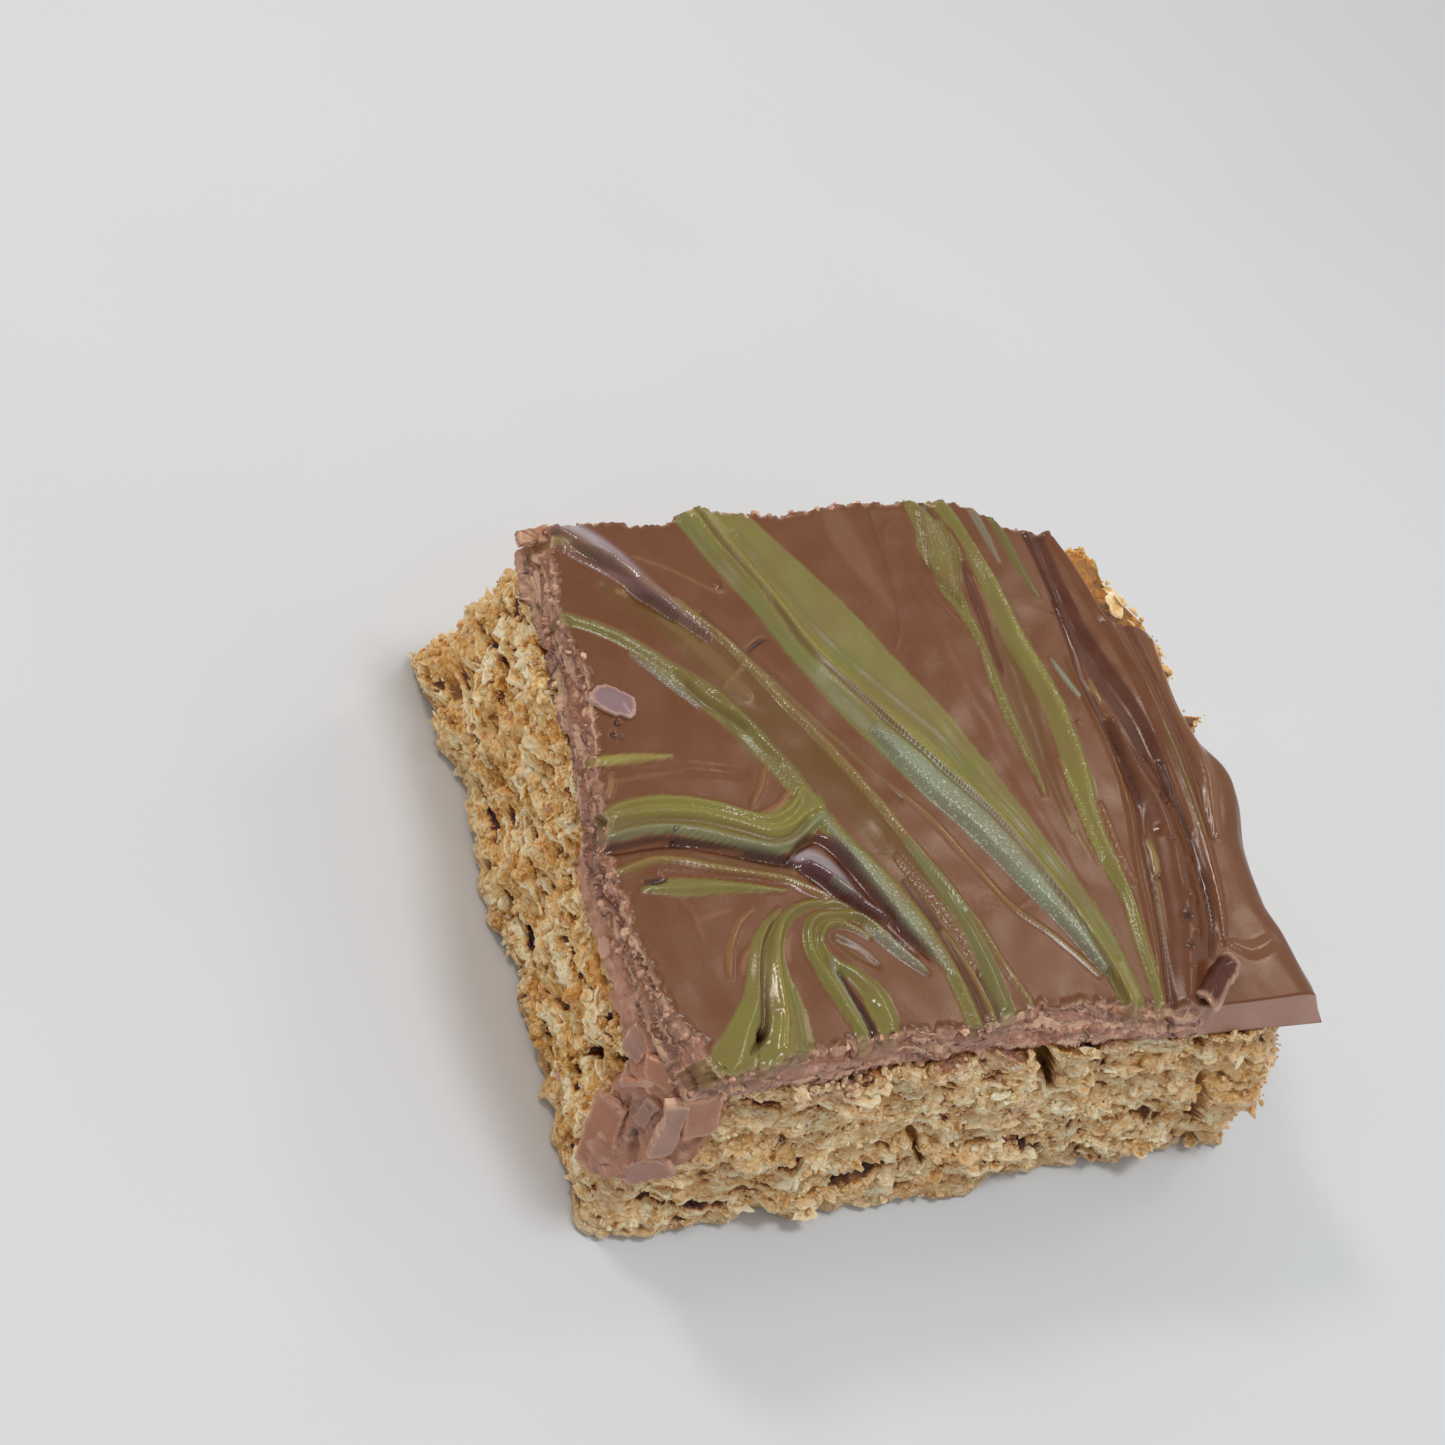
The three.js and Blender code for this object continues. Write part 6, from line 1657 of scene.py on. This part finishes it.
def oat_material():
    wiring = Wiring("baked_oats")
    blotch = wiring.noise(2.2, detail=3, stretch=(1.3, 1.3, 0.7))
    fine = wiring.noise(0.45, detail=4, stretch=(1.4, 1.4, 0.6))
    speck = wiring.noise(0.2, detail=2)
    level, edge = wiring.plates(0.6, (1.7, 1.7, 0.7))
    share = oat_share(wiring, blotch, fine, speck, level, edge)
    colour = wiring.ramp(share, [(at, paint(code, OAT_LIGHT)) for at, code in OAT_COLOURS])
    axes = wiring.axes()
    amber = wiring.times(wiring.value_of("syrup"), wiring.between(blotch, 0.3, 0.5))
    stained = wiring.times(wiring.value_of("stain"), wiring.between(fine, 0.35, 0.6, 0.75, 0.2))
    # Greyer and paler on the near side
    near_grey = wiring.times(wiring.between(axes["Y"], -25 * MM, -20 * MM, 0.3, 0.0),
                          wiring.between(share, 0.05, 0.5))
    foot = wiring.between(axes["Z"], 0.3 * MM, 2.4 * MM, 0.5, 0.0)
    washes = ((wiring.times(amber, 0.5), AMBER), (stained, STAINED), (near_grey, NEAR_GREY), (foot, FOOT))
    for cover, tint in washes:
        colour = wiring.mix(cover, colour, tint)
    wiring.put(wiring.shader["Base Color"], colour)
    wiring.put(wiring.shader["Roughness"], wiring.between(amber, 0, 1, 0.42, 0.28))
    wiring.scatter(**OAT_SCATTER)
    crumb = wiring.maths("ADD", wiring.maths("ADD", fine, speck), wiring.between(edge, 0.0, 0.3))
    wiring.put(wiring.shader["Normal"], wiring.bump(crumb, 0.16, 0.8))
    return wiring.material


# Stage: camera, floor and light

FLOOR_SIZE = 1600
FLOOR_COLOUR = linear("#dddddd")
FAR_FLOOR = linear("#bbb6b1")
LAMP_AIM = (0, 0, 12)
LAMPS = [
    {"name": "window", "towards": (-0.38, 0.57, 0.73), "distance": 700, "size": 110, "power": 1.0,
     "colour": (1.0, 0.88, 0.8)},
    {"name": "ceiling", "towards": (0.13, -0.08, 1), "distance": 700, "size": 165, "power": 1.55,
     "colour": (0.9, 0.95, 1.0)},
    {"name": "warm_lamp", "towards": (0.62, 0.30, 0.72), "distance": 800, "size": 120, "power": 0.4,
     "colour": (1.0, 0.85, 0.7)},
]
SKY = {"colour": (0.93, 0.97, 1.0, 1), "power": 0.54}


def add_camera():
    lens = bpy.data.cameras.new("photo_view")
    lens.lens = CAMERA_LENS
    lens.sensor_width = SENSOR_WIDTH
    lens.clip_start = 0.01
    eye = bpy.data.objects.new("photo_view", lens)
    back = -CAMERA_FORWARD.normalized()
    right = CAMERA_UP.cross(back).normalized()
    up = back.cross(right)
    turn = Matrix((right, up, back)).transposed().to_4x4()
    eye.matrix_world = Matrix.Translation(CAMERA_AT * MM) @ turn
    bpy.context.scene.collection.objects.link(eye)
    bpy.context.scene.camera = eye


def floor_material():
    """A pale floor, a little darker far from the camera."""
    wiring = Wiring("pale_table")
    cloud = wiring.noise(60, detail=3)
    colour = wiring.mix(wiring.between(cloud, 0.3, 0.7), FLOOR_COLOUR, FLOOR_COLOUR * 0.97)
    axes = wiring.axes()
    away = wiring.maths("ADD", axes["X"], wiring.times(axes["Y"], 0.7))
    colour = wiring.mix(wiring.between(away, 40 * MM, 420 * MM, 0.0, 0.7), colour, FAR_FLOOR)
    wiring.put(wiring.shader["Base Color"], colour)
    wiring.put(wiring.shader["Roughness"], wiring.between(cloud, 0.3, 0.7, 0.5, 0.6))
    return wiring.material


def add_floor():
    half = FLOOR_SIZE / 2 * MM
    mesh = bpy.data.meshes.new("table")
    corners = [(-half, -half, 0), (half, -half, 0), (half, half, 0), (-half, half, 0)]
    mesh.from_pydata(corners, [], [(0, 1, 2, 3)])
    mesh.materials.append(floor_material())
    floor = bpy.data.objects.new("table", mesh)
    bpy.context.scene.collection.objects.link(floor)


def add_lamp(name, towards, distance, size, power, colour):
    """A square soft light that stands in a direction from the piece and faces it."""
    lamp = bpy.data.lights.new(name, "AREA")
    lamp.size = size * MM
    lamp.energy = power
    lamp.color = colour
    spot = bpy.data.objects.new(name, lamp)
    way = Vector(towards).normalized()
    spot.location = way * distance * MM + Vector(LAMP_AIM) * MM
    spot.rotation_euler = way.to_track_quat("Z", "Y").to_euler()
    bpy.context.scene.collection.objects.link(spot)


def add_sky():
    world = bpy.data.worlds.new("pale_room")
    world.use_nodes = True
    sky = world.node_tree.nodes["Background"]
    sky.inputs["Color"].default_value = SKY["colour"]
    sky.inputs["Strength"].default_value = SKY["power"]
    bpy.context.scene.world = world
    bpy.context.scene.view_settings.view_transform = "Standard"


add_camera()
add_floor()
for one_lamp in LAMPS:
    add_lamp(**one_lamp)
add_sky()

chocolate = chocolate_material()
oats = oat_material()
oat_sides = OatSides()
torn_edge, edge_torn = chocolate_layer(chocolate)
chocolate_shards(oat_sides, chocolate)
chocolate_smear(oat_sides, chocolate)
chocolate_crumbs(torn_edge, edge_torn, oat_sides, generator(5), chocolate)
oat_core(oat_sides, oats)
oat_flakes("oat_flakes", oat_sides, generator(1), oats, **FLAKES)
oat_flakes("oat_scraps", oat_sides, generator(2), oats, **SCRAPS)
oat_lumps("oat_lumps", oat_sides, generator(3), oats, **LUMPS)
oat_lumps("oat_grit", oat_sides, generator(4), oats, **GRIT)
